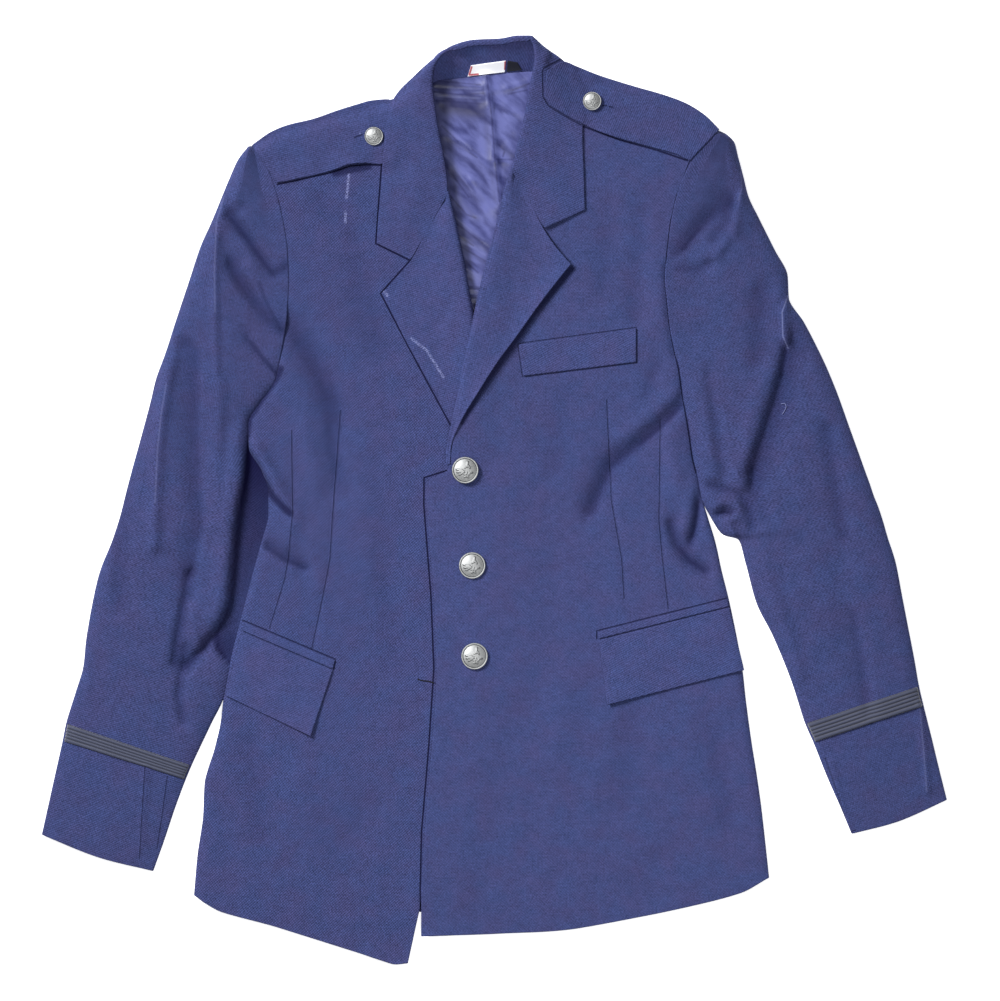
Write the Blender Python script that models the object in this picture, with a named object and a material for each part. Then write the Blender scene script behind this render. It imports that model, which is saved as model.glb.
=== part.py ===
"""A dark blue military dress tunic laid flat on its back, buttoned, sleeves at its sides.

Tables and named sizes are in millimetres and the solids are made in metres. +Z is up, +Y runs
from the hem to the collar, and +X is the wearer's left. The origin is on the floor, at the middle
of the coat's outline. Every piece of cloth is a closed wall. "right" and "left" are the wearer's.
"""
import math

import bpy
import numpy as np
from mathutils import Vector
from mathutils.bvhtree import BVHTree

MM = 0.001

# ---------------------------------------------------------------- driving sizes
WALL = 1.6               # body and sleeve cloth with its interlining
TRIM = 1.4               # collar, lapels, flaps and shoulder straps
LINING = 1.0
SEAM_GAP = 0.25          # half of the gap between two pieces that meet at a seam
REST_GAP = 0.45          # a piece that lies on another one
COLLAR_GAP = 1.0         # the collar stands a little clearer of the strap and its stand
PLATE_INSET = 3.6        # the back pieces lie this far inside the rolled edges
BODY_ROLL = 8.0          # plan radius of the body's rolled side edges
SLEEVE_ROLL = 12.0
TOP_BUTTON = 22.9        # 36 lignes
STRAP_BUTTON = 15.9      # 25 lignes
CLEAR_ROUNDS = 12        # passes that lift a piece until its facets clear those below
CLEAR_SAMPLES = 12       # how finely each facet's height is tested

ROLL_ANGLES = np.radians([0.0, 30.0, 60.0, 90.0])
SHOULDER_STEPS = [0.0, 0.08, 0.3, 0.6]      # rows over the shoulder's roll, share of the first gap
FORK_START = {"right": 6, "left": 9}        # the shared row where the side starts to roll under
FORK_ROWS = 4
BODY_CELLS = 12
SLEEVE_CELLS = 9
STRAP_CELLS = 5
STAND_CELLS = 3
LINING_CELLS = 10
SEAM_REACH = 0.5         # share of a sleeve's width over which it meets the front's height
SEAM_RISE = 0.6          # the sleeve's seam stands this much above the front's
FOLD_LIMIT = 4.2         # folds that cross sum to no more than about this
LAY_FROM = 0.25          # a rolled piece takes its resting height from this share outwards
NARROW_LAPEL = 14.0      # a lapel narrower than this has no room to roll up
NOTCH_FADE = [1.0, 0.6, 0.3, 0.1]
LEAF_SAG = 5.0           # how far the leaf's edge may drop past the shoulder

# ---------------------------------------------------------------- the coat's sections
# One row for each section where the sleeve lies against the body, from the shoulder down to the
# fork under the arm: the line they share, the sleeve's outer edge and the front's inner edge.
SHARED_COLUMNS = ("seam_x", "seam_y", "outer_x", "outer_y", "centre_x", "centre_y")
SHARED_RIGHT = [
    (-206, 303, -212, 306, -63, 350), (-198, 292, -220, 293, -58, 318),
    (-189, 270, -229, 273, -53, 282), (-181, 236, -243, 239, -40, 244),
    (-178, 215, -252, 219, -31, 215), (-177, 188, -263, 186, -26, 190),
    (-179, 155, -274, 153, -20, 158), (-183, 130, -282, 128, -16, 134),
    (-189, 103, -291, 103, -10, 106), (-201, 85, -295, 86, -6, 88),
    (-212, 66, -300, 67, -2, 70), (-211, 46, -306, 45, 2, 52),
    (-200, 26, -311, 27, 4, 34), (-194, 8, -316, 8, 6, 12),
    (-194, -12, -321, -12, 7, -12), (-200, -36, -328, -34, 6, -38),
    (-208, -65, -340, -65, 4, -68), (-218, -103, -348, -103, -3, -106),
    (-225, -131, -351, -122, -9, -132), (-232, -166, -353, -142, -18, -165),
]
SHARED_LEFT = [
    (193, 316, 200, 317, 47, 372), (186, 309, 205, 310, 41, 342),
    (174, 298, 210, 295, 33, 312), (164, 281, 214, 278, 25, 290),
    (157, 262, 218, 262, 12, 264), (152, 239, 228, 241, 6, 238),
    (149, 214, 241, 215, 0, 214), (147, 191, 252, 193, -6, 190),
    (149, 171, 253, 174, -11, 172), (151, 151, 266, 153, -15, 152),
    (155, 130, 277, 132, -21, 130), (159, 113, 286, 113, -25, 113),
    (162, 92, 295, 91, -29, 92), (167, 63, 305, 63, -34, 63),
    (171, 36, 314, 38, -38, 37), (174, 24, 319, 24, -40, 26),
    (176, 13, 323, 13, -59, 16), (178, 3, 326, 4, -59, 4),
]
# The rest of the body, down to the hem.
BODY_COLUMNS = ("side_x", "side_y", "centre_x", "centre_y")
BODY_RIGHT = [
    (-235, -191, -25, -192), (-240, -213, -32, -218), (-249, -245, -43, -262),
    (-250, -270, -53, -303), (-255, -306, -64, -352), (-258, -340, -74, -398),
]
BODY_LEFT = [
    (183, -14, -58, -14), (190, -37, -56, -37), (195, -60, -54, -60), (201, -84, -52, -85),
    (208, -117, -51, -117), (213, -145, -50, -145), (216, -172, -51, -172),
    (221, -209, -54, -212), (225, -234, -57, -246), (229, -262, -60, -285),
    (233, -297, -62, -335), (236, -325, -62, -375),
]
# The rest of each sleeve, down to the cuff. The braid lies between two of these rows.
ARM_COLUMNS = ("inner_x", "inner_y", "outer_x", "outer_y")
ARM_RIGHT = [
    (-245, -194, -360, -166), (-261, -228, -368, -192), (-266, -240, -371, -207),
    (-275, -264, -377, -234), (-284, -291, -383, -261), (-294, -319, -389, -288),
]
ARM_LEFT = [
    (186, -13, 330, -6), (197, -29, 334, -18), (210, -33, 338, -32), (217, -55, 345, -54),
    (226, -88, 350, -80), (240, -116, 355, -106), (256, -155, 361, -137),
    (268, -192, 365, -160), (275, -208, 369, -177), (287, -238, 376, -205),
    (298, -263, 382, -230), (308, -287, 389, -258),
]
BRAID_ROW_RIGHT = 1      # the row of ARM_RIGHT at the braid's upper edge
BRAID_ROW_LEFT = 7

# How far an end line bows from straight: share of the way from the centre, and the bow.
BOW_COLUMNS = ("share", "bow")
HEM_BOW_RIGHT = [(0, 0), (0.08, -5), (0.30, -5), (0.60, -5), (0.87, -7), (0.95, -4), (1, 0)]
HEM_BOW_LEFT = [(0, 0), (0.22, -9), (0.46, -16), (0.64, -15), (0.81, -12.5), (0.92, -9), (1, 0)]
SHOULDER_BOW_RIGHT = [(0, 0), (0.25, 3), (0.5, 4), (0.8, 4), (1, 0)]
SHOULDER_BOW_LEFT = [(0, 0), (0.2, 4), (0.45, 7), (0.75, 8), (0.93, 5), (1, 0)]
CUFF_BOW = -3.5

# ---------------------------------------------------------------- heights above the floor
HEIGHT_COLUMNS = ("y", "height")
BODY_HEIGHT = [(-400, 4.8), (-340, 6.2), (-200, 7.5), (0, 8.5), (120, 10), (220, 13), (300, 16),
               (380, 17)]
SLEEVE_HEIGHT = [(-320, 6.2), (-240, 8), (-100, 11), (50, 13), (200, 14.5), (300, 16)]
ROLL_HEIGHT_RIGHT = [(50, 11), (134, 15), (200, 18), (263, 20), (320, 23), (356, 26), (380, 30),
                     (400, 33)]
ROLL_HEIGHT_LEFT = [(20, 11.5), (100, 15), (200, 19), (290, 21), (331, 23), (353, 26), (380, 31),
                    (400, 34)]
SLEEVE_CROWN = 0.22      # how much lower a sleeve is at its edges than along its middle

# The largest folds: a line, its width and its height, negative for a trough.
FOLD_COLUMNS = ("x0", "y0", "x1", "y1", "width", "height")
FOLDS_BODY_RIGHT = [
    (-165, 132, -144, 86, 11, -3.0), (-144, 86, -141, 6, 10, -3.0), (-210, 46, -173, -10, 9, 3.5),
    (-195, -28, -161, -57, 10, -3.0), (-177, 151, -146, 78, 17, -2.5),
    (-104, -258, -139, -303, 19, -2.0),
]
FOLDS_BODY_LEFT = [
    (119, 258, 140, 155, 20, 3.5), (93, 75, 80, 6, 16, -2.0), (154, 75, 108, 35, 14, -3.0),
    (108, 35, 85, -6, 14, -2.0), (160, -17, 171, -51, 14, -3.5), (50, -51, 22, -86, 19, -1.0),
    (149, -303, 102, -355, 19, -1.5),
]
FOLDS_SLEEVE_RIGHT = [
    (-226, 241, -192, 211, 10, -5.0), (-229, 221, -192, 149, 11, -5.5),
    (-213, 139, -194, 112, 10, -4.0), (-237, 247, -241, 162, 9, 3.0),
    (-280, 116, -295, -37, 9, 2.5), (-269, 144, -257, -5, 12, -4.5), (-262, -37, -262, -84, 11, -3.0),
    (-275, -51, -275, -189, 11, -2.5), (-260, -103, -260, -189, 10, 2.0),
    (-234, -112, -264, -142, 14, -3.0), (-222, 6, -234, -103, 10, 3.5),
]
FOLDS_SLEEVE_LEFT = [
    (196, 267, 166, 213, 11, -5.0), (179, 190, 157, 174, 10, -4.0), (211, 285, 208, 232, 9, 3.5),
    (248, 176, 252, 130, 9, 2.5), (253, 127, 236, 85, 11, -4.5), (241, 104, 223, 19, 12, -4.0),
    (200, 2, 213, -31, 11, -3.0), (296, -52, 305, -116, 11, -3.5), (305, -116, 315, -172, 11, -3.0),
]

# ---------------------------------------------------------------- collar and lapels
# The stand: where it is sewn to the neck, and where the collar rolls over it.
STAND_COLUMNS = ("seam_x", "seam_y", "seam_z", "top_x", "top_y", "top_z")
STAND = [
    (-45.5, 271, 11.5, -43, 271, 13.5), (-50, 290, 12, -46, 292, 15), (-56, 318, 12, -51.5, 318, 18),
    (-60, 338, 10, -55.5, 342, 20), (-58, 353, 6, -55, 362, 19), (-48, 360, 4.2, -50, 374, 22),
    (-33, 362, 3.6, -38, 384.5, 26), (-15, 364, 3.6, -17, 389.5, 28), (5, 366, 3.6, 5, 390.5, 29),
    (20, 367.5, 3.6, 20, 392.5, 29), (31, 369, 4, 32, 390.5, 29), (40, 365, 6, 37, 381, 27),
    (41, 350, 9, 35.5, 355, 22), (35, 330, 11, 29.5, 331, 18), (28, 309, 11, 24, 309, 15.5),
    (21, 290, 11, 19, 290, 13),
]
# The leaf: the roll, the leaf's outer edge, and how far the section hangs down behind the neck.
LEAF_COLUMNS = ("roll_x", "roll_y", "edge_x", "edge_y", "hang")
LEAF = [
    (-39.6, 264, -101, 221, 0), (-41, 282, -100, 240, 0), (-44, 300, -98, 262, 0),
    (-48, 320, -96, 290, 0), (-51, 340, -94, 314, 0), (-53, 356, -91, 335, 0),
    (-52, 369, -84, 349, 0), (-48, 379, -69, 364, 0), (-41, 387, -52, 380, 0.35),
    (-32, 391.5, -36, 391, 1), (-17, 395, -17, 395.3, 1), (5, 396, 5, 396.5, 1),
    (20, 398.5, 20, 399, 1), (31, 398.5, 35, 398.5, 0.8), (35, 391, 46, 389, 0.3),
    (35, 380, 58, 379, 0), (33, 368, 67, 371, 0), (30, 353, 74, 360, 0), (26, 331, 76, 338, 0),
    (21, 312, 76, 312, 0), (18, 298, 77, 282, 0), (16.6, 289, 78, 250, 0),
]
LEAF_NOTCH_RIGHT = (-71.8, 206.6)      # where the leaf's front edge meets the lapel
LEAF_NOTCH_LEFT = (42.8, 233.6)
LEAF_NOTCH_SHARE = 0.5
# The leaf's section: share of the way out, height under the roll in mm and as a share of the drop.
LEAF_SECTION_COLUMNS = ("share", "below_roll", "drop_share", "hang_out", "hang_below", "hang_drop")
LEAF_SECTION = [
    (0.00, 2.6, 0.00, -5.2, 1.2, 0.00), (0.02, 0.7, 0.00, -3.8, 0.0, 0.00),
    (0.08, 0.0, 0.00, -1.8, 0.0, 0.00), (0.25, 0.0, 0.10, -0.3, 1.8, 0.00),
    (0.50, 0.0, 0.45, 0.0, 0.0, 0.25), (0.75, 0.0, 0.80, -0.2, 0.0, 0.62), (1.00, 0.0, 1.00, -1.0, 0.0, 1.00),
]
HANG_FOOT = 2.2                    # the hanging part of the leaf ends this high

LAPEL_COLUMNS = ("roll_x", "roll_y", "outer_x", "outer_y")
LAPEL_RIGHT = [
    (-24, 58, -31, 54), (-24, 90, -44, 82), (-20, 112, -55, 100), (-17, 134, -66, 119),
    (-18, 155, -77, 139), (-22, 180, -87, 159), (-26, 205, -97, 178), (-30, 224, -85, 190),
    (-34, 242, -71, 206), (-37, 254, -57, 230), (-39, 261, -44, 252),
]
LAPEL_LEFT = [
    (-41, 31, -38, 31), (-41, 42, -37, 46), (-36, 69, -28, 69), (-31, 95, -13, 94),
    (-26, 122, 3, 119), (-20, 147, 20, 142), (-14, 174, 37, 166), (-7, 203, 53, 187),
    (-1, 224, 66, 203), (5, 250, 53, 218), (8, 264, 42, 233), (12, 278, 29, 259),
    (15, 286, 19, 279),
]
# A lapel's section: share of the way out, height under the roll, share of its drop to the front.
LAPEL_SECTION = [(0.0, 5.5, 0.0), (0.03, 1.6, 0.0), (0.1, 0.0, 0.0), (0.28, 0.0, 0.35),
                 (0.5, 0.0, 0.8), (0.75, 0.0, 1.0), (1.0, 0.0, 1.0)]

# ---------------------------------------------------------------- pieces that lie on the fronts
STRAP_COLUMNS = ("low_x", "low_y", "top_x", "top_y")
STRAP_RIGHT = [
    (-187, 273, -203, 305), (-176, 275, -190, 315), (-162, 278, -176, 321), (-141, 283, -156, 328),
    (-124, 289, -136, 335), (-112, 290, -120, 340), (-100, 289, -105, 344), (-90, 289, -92, 345),
    (-80, 296, -80, 338),
]
STRAP_LEFT = [
    (167, 293, 190.5, 318), (155, 298, 180, 329), (141, 302, 164, 340), (126, 306, 145, 349),
    (108, 311, 124, 355), (90, 317, 104, 361), (75, 324, 86, 367), (60, 332, 71, 373),
    (48, 340, 59, 377), (43, 348, 45, 369),
]
STRAP_SAG = 4.5          # a strap keeps above its own highest line by no more than this
# Flaps and welts: corners in order inner top, outer top, outer bottom, inner bottom.
FLAP_RIGHT = [(-139, -146), (-217, -113), (-231, -168), (-158, -203)]
FLAP_LEFT = [(90, -120), (202, -92), (215, -146), (97, -176)]
FLAP_CORNER = 0.10       # rounded corners, share of the flap's width
FLAP_BELLY = 1.0
PATCH_SAG = 4.0          # a flap keeps this near its middle height where it passes a rolled side
JET_RIGHT = [(-137, -137.5), (-216, -104), (-216.8, -112), (-139, -145)]
JET_LEFT = [(89, -113), (200, -85), (202, -91), (90, -119)]
WELT = [(21, 134), (122, 148), (122, 119), (25, 107)]

LINING_COLUMNS = ("y", "right_x", "left_x")
LINING_SPAN = [(140, -46, 14), (170, -52, 20), (200, -58, 28), (230, -64, 36), (260, -68, 42),
               (290, -72, 46), (320, -68, 48), (340, -58, 44), (357, -46, 38)]
LINING_FOLDS = [
    (-6, 352, -1, 295, 5, 2.2), (-1, 295, 4, 262, 5, 2.0), (-44, 322, -2, 290, 6, 1.4),
    (-40, 296, 0, 250, 8, 1.6), (-30, 240, 8, 215, 7, 1.2), (-50, 352, 34, 356, 5, 1.5),
]
BACK_HEM_Y = -362        # the back's hem and neck at the centre seam
BACK_NECK_Y = 361
BACK_HEM_RISE = 9        # the back's hem is this much higher at the sides than the fronts'

FRONT_BUTTONS = [(-25, 26), (-19, -56), (-17, -134)]
STRAP_BUTTONS = {"right": (-103.5, 313), "left": (84, 343)}
# A button's turned profile: share of its radius, and height as a share of its radius.
BUTTON_PROFILE = [(0.28, 0.0), (0.28, 0.1), (0.86, 0.16), (1.0, 0.25), (1.0, 0.32), (0.9, 0.38),
                  (0.82, 0.33), (0.5, 0.44), (0.22, 0.48)]
BUTTON_TOP = 0.49
BUTTON_SIDES = 20

LABEL = [(-23, 364.6), (9, 368.4), (10, 378), (-20, 374)]
LOOP = [(10.6, 368.6), (24, 370), (20, 376.5), (11.6, 378)]
TAB_WALL = 1.0

BRAID_WALL = 1.0
BRAID_RIB = 0.7
BRAID_RIBS = 5

COLOURS = {
    "cloth": (0.036, 0.044, 0.120), "lining": (0.105, 0.120, 0.330), "braid": (0.020, 0.024, 0.045),
    "label": (0.80, 0.80, 0.78), "tape": (0.010, 0.010, 0.014), "button": (0.42, 0.42, 0.43),
}
ROUGHNESS = {"cloth": 0.85, "lining": 0.42, "braid": 0.7, "label": 0.6, "tape": 0.6, "button": 0.38}


# ---------------------------------------------------------------- materials and meshes
def material(name):
    """The plain Principled material of one finish."""
    found = bpy.data.materials.get(name)
    if found:
        return found
    made = bpy.data.materials.new(name)
    made.use_nodes = True
    shader = made.node_tree.nodes["Principled BSDF"]
    shader.inputs["Base Color"].default_value = (*COLOURS[name], 1.0)
    shader.inputs["Roughness"].default_value = ROUGHNESS[name]
    shader.inputs["Metallic"].default_value = 1.0 if name == "button" else 0.0
    made.diffuse_color = (*COLOURS[name], 1.0)
    return made


SUPPORTS = {}


def add_solid(name, points, faces, finish):
    """Make the object from points in mm, and keep a search tree of it for what lies on it."""
    mesh = bpy.data.meshes.new(name)
    mesh.from_pydata([tuple(p) for p in np.asarray(points) * MM], [], faces)
    mesh.materials.append(material(finish))
    mesh.update()
    solid = bpy.data.objects.new(name, mesh)
    bpy.context.scene.collection.objects.link(solid)
    mesh.shade_smooth()
    mesh.set_sharp_from_angle(angle=math.radians(40))
    SUPPORTS[name] = BVHTree.FromPolygons([Vector(p) for p in points], faces)
    return solid


def wall_from_grids(name, top, under, finish):
    """Close two grids of points, the upper and the lower side of a wall, with a rim."""
    rows, columns = top.shape[:2]
    points = np.concatenate([top.reshape(-1, 3), under.reshape(-1, 3)])
    top_id = np.arange(rows * columns).reshape(rows, columns)
    under_id = top_id + rows * columns
    faces = []
    for grid, order in ((top_id, 1), (under_id, -1)):
        corner, right, low, far = grid[:-1, :-1], grid[:-1, 1:], grid[1:, :-1], grid[1:, 1:]
        for triangle in ((corner, right, far), (corner, far, low)):
            faces += np.stack(triangle, axis=-1).reshape(-1, 3)[:, ::order].tolist()
    loop = list(top_id[0, :]) + list(top_id[1:, -1]) + list(top_id[-1, -2::-1]) + list(top_id[-2:0:-1, 0])
    for here, there in zip(loop, loop[1:] + loop[:1]):
        lower_here, lower_there = int(here) + rows * columns, int(there) + rows * columns
        faces += [[int(there), int(here), lower_here], [int(there), lower_here, lower_there]]
    if signed_area(top) < 0:
        faces = [face[::-1] for face in faces]
    return add_solid(name, points, faces, finish)


def signed_area(grid):
    """The plan area inside a grid's border, positive when rows and columns turn to the left."""
    border = np.concatenate([grid[0, :], grid[1:, -1], grid[-1, -2::-1], grid[-2:0:-1, 0]])
    x, y = border[:, 0], border[:, 1]
    return 0.5 * np.sum(x * np.roll(y, -1) - np.roll(x, -1) * y)


def grid_normals(grid):
    """Unit normals of a grid of points, turned upwards on the whole."""
    along = np.gradient(grid, axis=0)
    across = np.gradient(grid, axis=1)
    normal = np.cross(across, along)
    normal /= np.maximum(np.linalg.norm(normal, axis=-1, keepdims=True), 1e-9)
    return normal * (1.0 if signed_area(grid) > 0 else -1.0)


def shell(name, top, thickness, finish):
    """A wall whose under side is the top moved back along its normals."""
    return wall_from_grids(name, top, top - thickness * grid_normals(top), finish)


# ---------------------------------------------------------------- heights and folds
def step(value):
    """A smooth 0 to 1 step."""
    value = np.clip(value, 0.0, 1.0)
    return value * value * (3.0 - 2.0 * value)


def read_table(table, at):
    """Look a value up in a two-column table, straight between its rows."""
    table = np.asarray(table, dtype=float)
    return np.interp(at, table[:, 0], table[:, 1])


def fold_heights(folds, x, y):
    """Sum of the folds: each is a bell-shaped ridge or trough along its line."""
    total = np.zeros_like(x)
    for x0, y0, x1, y1, width, height in folds:
        run_x, run_y = x1 - x0, y1 - y0
        share = np.clip(((x - x0) * run_x + (y - y0) * run_y) / (run_x**2 + run_y**2), 0.0, 1.0)
        away = np.hypot(x - x0 - share * run_x, y - y0 - share * run_y)
        total += height * np.exp(-((away / width) ** 2))
    return FOLD_LIMIT * np.tanh(total / FOLD_LIMIT)


def support_height(x, y, names):
    """Height of the highest named solid under or over a point, or the floor's."""
    best = 0.0
    for name in names:
        hit = SUPPORTS[name].ray_cast(Vector((x, y, 200.0)), Vector((0.0, 0.0, -1.0)))
        if hit[0] is not None:
            best = max(best, hit[0].z)
    return best


def lift_clear(under, names, gap):
    """How far to lift each point of an under side so that its facets clear the named solids."""
    rows, columns = under.shape[:2]
    corner_id = np.arange(rows * columns).reshape(rows, columns)
    points = under.reshape(-1, 3)
    ids, weights = [], []
    shares = np.linspace(0.0, 1.0, CLEAR_SAMPLES + 1)
    corner, right, low, far = (corner_id[:-1, :-1], corner_id[:-1, 1:], corner_id[1:, :-1], corner_id[1:, 1:])
    for triangle in ((corner, right, far), (corner, low, far)):
        triangle = np.stack(triangle, axis=-1).reshape(-1, 3)
        for first in shares:
            for second in shares[shares <= first]:
                ids.append(triangle)
                weights.append(np.tile([1.0 - first, first - second, second], (len(triangle), 1)))
    ids, weights = np.concatenate(ids), np.concatenate(weights)
    places = (points[ids] * weights[..., None]).sum(axis=1)
    floor = np.array([support_height(x, y, names) for x, y, _ in places])
    covered = floor > 0.0
    ids, weights, wanted = ids[covered], weights[covered], (floor + gap - places[:, 2])[covered]
    lift = np.zeros(rows * columns)
    for _ in range(CLEAR_ROUNDS):
        short = np.maximum(wanted - (lift[ids] * weights).sum(axis=1), 0.0)
        need = np.zeros_like(lift)
        for k in range(3):
            np.maximum.at(need, ids[:, k], np.where(weights[:, k] > 0.2, short, 0.0))
        lift += need
    return lift.reshape(rows, columns)


# ---------------------------------------------------------------- body and sleeves
def shoulder_rows(edge):
    """Add the rows over the shoulder's roll between an edge's first two points."""
    edge = np.asarray(edge, dtype=float)
    first = [edge[0] + share * (edge[1] - edge[0]) for share in SHOULDER_STEPS]
    return np.array(first + list(edge[1:]))


def repeat_first(values):
    """Give each added shoulder row the first row's value."""
    return np.array([values[0]] * (len(SHOULDER_STEPS) - 1) + list(values))


def across_section(length, radius, rolls, cells):
    """Stations across a section, and how far each end's roll has gone at each of them."""
    radius = min(radius, 0.3 * length)
    near = radius * (1.0 - np.cos(ROLL_ANGLES)) if rolls[0] else np.array([0.0])
    far = length - radius * (1.0 - np.cos(ROLL_ANGLES[::-1])) if rolls[1] else np.array([length])
    middle = np.linspace(near[-1], far[0], cells + 1)[1:-1]
    flat = np.full(len(middle), math.pi / 2)
    near_angle = ROLL_ANGLES if rolls[0] else np.array([math.pi / 2])
    far_angle = ROLL_ANGLES[::-1] if rolls[1] else np.array([math.pi / 2])
    stations = np.concatenate([near, middle, far])
    near_angle = np.concatenate([near_angle, flat, np.full(len(far), math.pi / 2)])
    far_angle = np.concatenate([np.full(len(near), math.pi / 2), flat, far_angle])
    return stations, near_angle, far_angle


def panel_grids(near, far, amounts, radius, cells, height_of, bows):
    """The upper and lower grids of a panel whose sections run from its near to its far edge.

    amounts says how fully each row's two ends roll down to the floor, from 0 at a seam on top to
    1 at a folded side, or None for an end that never rolls. Across a rolled end the surface is a
    quarter of an ellipse, and the wall's inner side is a smaller one inside it. The first rows
    roll over the shoulder in the same way. bows holds a table and a fade for each row.
    """
    near, far = shoulder_rows(near), shoulder_rows(far)
    rolls = (amounts[0] is not None, amounts[1] is not None)
    none = np.zeros(len(near))
    near_amount = repeat_first(amounts[0]) if rolls[0] else none
    far_amount = repeat_first(amounts[1]) if rolls[1] else none
    whole = len(SHOULDER_STEPS)
    first_gap = np.linalg.norm(near[whole] - near[0])
    top_rows, under_rows = [], []
    for row, (a, b) in enumerate(zip(near, far)):
        direction = (b - a) / np.linalg.norm(b - a)
        a, b = a + direction * SEAM_GAP, b - direction * SEAM_GAP
        length = np.linalg.norm(b - a)
        stations, near_angle, far_angle = across_section(length, radius, rolls, cells)
        share = stations / length
        inset = near_amount[row] * np.cos(near_angle) - far_amount[row] * np.cos(far_angle)
        factor = 1.0 - near_amount[row] * (1.0 - np.sin(near_angle))
        factor = factor * (1.0 - far_amount[row] * (1.0 - np.sin(far_angle)))
        top = a + direction * stations[:, None]
        under = a + direction * (stations + min(WALL, 0.18 * length) * inset)[:, None]
        if row < whole:
            run = near[whole] - near[0] + (far[whole] - far[0] - near[whole] + near[0]) * share[:, None]
            under = under + run * WALL * math.cos(ROLL_ANGLES[row]) / first_gap
            factor = factor * math.sin(ROLL_ANGLES[row])
        for bow, fade in bows:
            lift = read_table(bow, share) * fade[row]
            top[:, 1] += lift
            under[:, 1] += lift
        top_z = height_of(top[:, 0], top[:, 1], row, share) * factor
        under_z = (height_of(under[:, 0], under[:, 1], row, share) - WALL) * factor
        top_rows.append(np.column_stack([top, top_z]))
        under_rows.append(np.column_stack([under, under_z]))
    return np.array(top_rows), np.array(under_rows)


def end_fade(rows, reach, from_end):
    """Row weights that fall from 1 at one end of a panel to 0 after some rows."""
    index = np.arange(rows)
    if from_end:
        index = rows - 1 - index
    return 1.0 - step(index / reach)


def shared_table(side):
    """The shared sections of one side."""
    return np.array(SHARED_RIGHT if side == "right" else SHARED_LEFT, dtype=float)


def shared_amount(side):
    """How fully the shared line rolls down: 0 along the armhole, 1 below the arm."""
    return step((np.arange(len(shared_table(side))) - FORK_START[side]) / FORK_ROWS)


def body_edges(side):
    """A front's centre edge and side edge, row by row from the shoulder to the hem."""
    shared = shared_table(side)
    lower = np.array(BODY_RIGHT if side == "right" else BODY_LEFT, dtype=float)
    return np.vstack([shared[:, 4:6], lower[:, 2:4]]), np.vstack([shared[:, 0:2], lower[:, 0:2]])


def sleeve_edges(side):
    """A sleeve's inner and outer edges, row by row from the shoulder to the cuff."""
    shared = shared_table(side)
    arm = np.array(ARM_RIGHT if side == "right" else ARM_LEFT, dtype=float)
    return np.vstack([shared[:, 0:2], arm[:, 0:2]]), np.vstack([shared[:, 2:4], arm[:, 2:4]])


def rolled_amounts(side, rows):
    """How fully each section's end rolls down, along the shared line and then all the way."""
    shared = shared_amount(side)
    return np.concatenate([shared, np.ones(rows - len(shared))])


def front_grids(side):
    """Both sides of one front, from its centre edge to its side."""
    centre, outer = body_edges(side)
    folds = FOLDS_BODY_RIGHT if side == "right" else FOLDS_BODY_LEFT
    hem = HEM_BOW_RIGHT if side == "right" else HEM_BOW_LEFT
    shoulder = SHOULDER_BOW_RIGHT if side == "right" else SHOULDER_BOW_LEFT
    rows = len(centre) + len(SHOULDER_STEPS) - 1
    bows = [(shoulder, end_fade(rows, 7, False)), (hem, end_fade(rows, 6, True))]

    def height_of(x, y, row, share):
        return read_table(BODY_HEIGHT, y) + fold_heights(folds, x, y)

    amounts = (None, rolled_amounts(side, len(centre)))
    return panel_grids(centre, outer, amounts, BODY_ROLL, BODY_CELLS, height_of, bows)


def sleeve_grids(side):
    """Both sides of the upper half of one sleeve, from its inner to its outer edge."""
    inner, outer = sleeve_edges(side)
    folds = FOLDS_SLEEVE_RIGHT if side == "right" else FOLDS_SLEEVE_LEFT
    rows = len(inner) + len(SHOULDER_STEPS) - 1
    bows = [([(0, 0), (0.5, CUFF_BOW), (1, 0)], end_fade(rows, 3, True))]
    amount = rolled_amounts(side, len(inner))
    rolled = repeat_first(amount)

    def height_of(x, y, row, share):
        crown = 1.0 - SLEEVE_CROWN * (2.0 * share - 1.0) ** 2
        own = read_table(SLEEVE_HEIGHT, y) * crown + fold_heights(folds, x, y)
        at_seam = (1.0 - rolled[row]) * (1.0 - step(share / SEAM_REACH))
        return own + (read_table(BODY_HEIGHT, y) + SEAM_RISE - own) * at_seam

    amounts = (amount, np.ones(len(inner)))
    return panel_grids(inner, outer, amounts, SLEEVE_ROLL, SLEEVE_CELLS, height_of, bows)


def make_front(side, names):
    """One front, lifted clear of what lies under it."""
    top, under = front_grids(side)
    lift = np.zeros(top.shape[:2])
    if names:
        lift = lift_clear(under, names, REST_GAP)
    top[..., 2] += lift
    under[..., 2] += lift
    wall_from_grids(f"front_{side}", top, under, "cloth")


def inset_rows(edge_a, edge_b, by_a, by_b):
    """Move the ends of each section towards each other."""
    run = edge_b - edge_a
    unit = run / np.linalg.norm(run, axis=1, keepdims=True)
    return edge_a + unit * by_a, edge_b - unit * by_b


def flat_plate(name, edge_a, edge_b, finish):
    """A flat wall on the floor between two edges that have the same number of points."""
    under = np.stack([edge_a, edge_b], axis=1)
    under = np.concatenate([under, np.zeros(under.shape[:2] + (1,))], axis=-1)
    wall_from_grids(name, under + [0.0, 0.0, WALL], under, finish)


def make_back(side):
    """One half of the back, flat on the floor, from the centre-back seam to the side."""
    sign = -1.0 if side == "right" else 1.0
    outer = body_edges(side)[1]
    outer[0] += (-sign * PLATE_INSET, -PLATE_INSET)
    outer[-1, 1] += BACK_HEM_RISE
    seam_y = np.interp(outer[:, 1], [outer[-1, 1], outer[0, 1]], [BACK_HEM_Y, BACK_NECK_Y])
    seam = np.column_stack([np.full(len(outer), sign * SEAM_GAP), seam_y])
    flat_plate(f"back_{side}", *inset_rows(seam, outer, 0.0, PLATE_INSET), "cloth")


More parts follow.
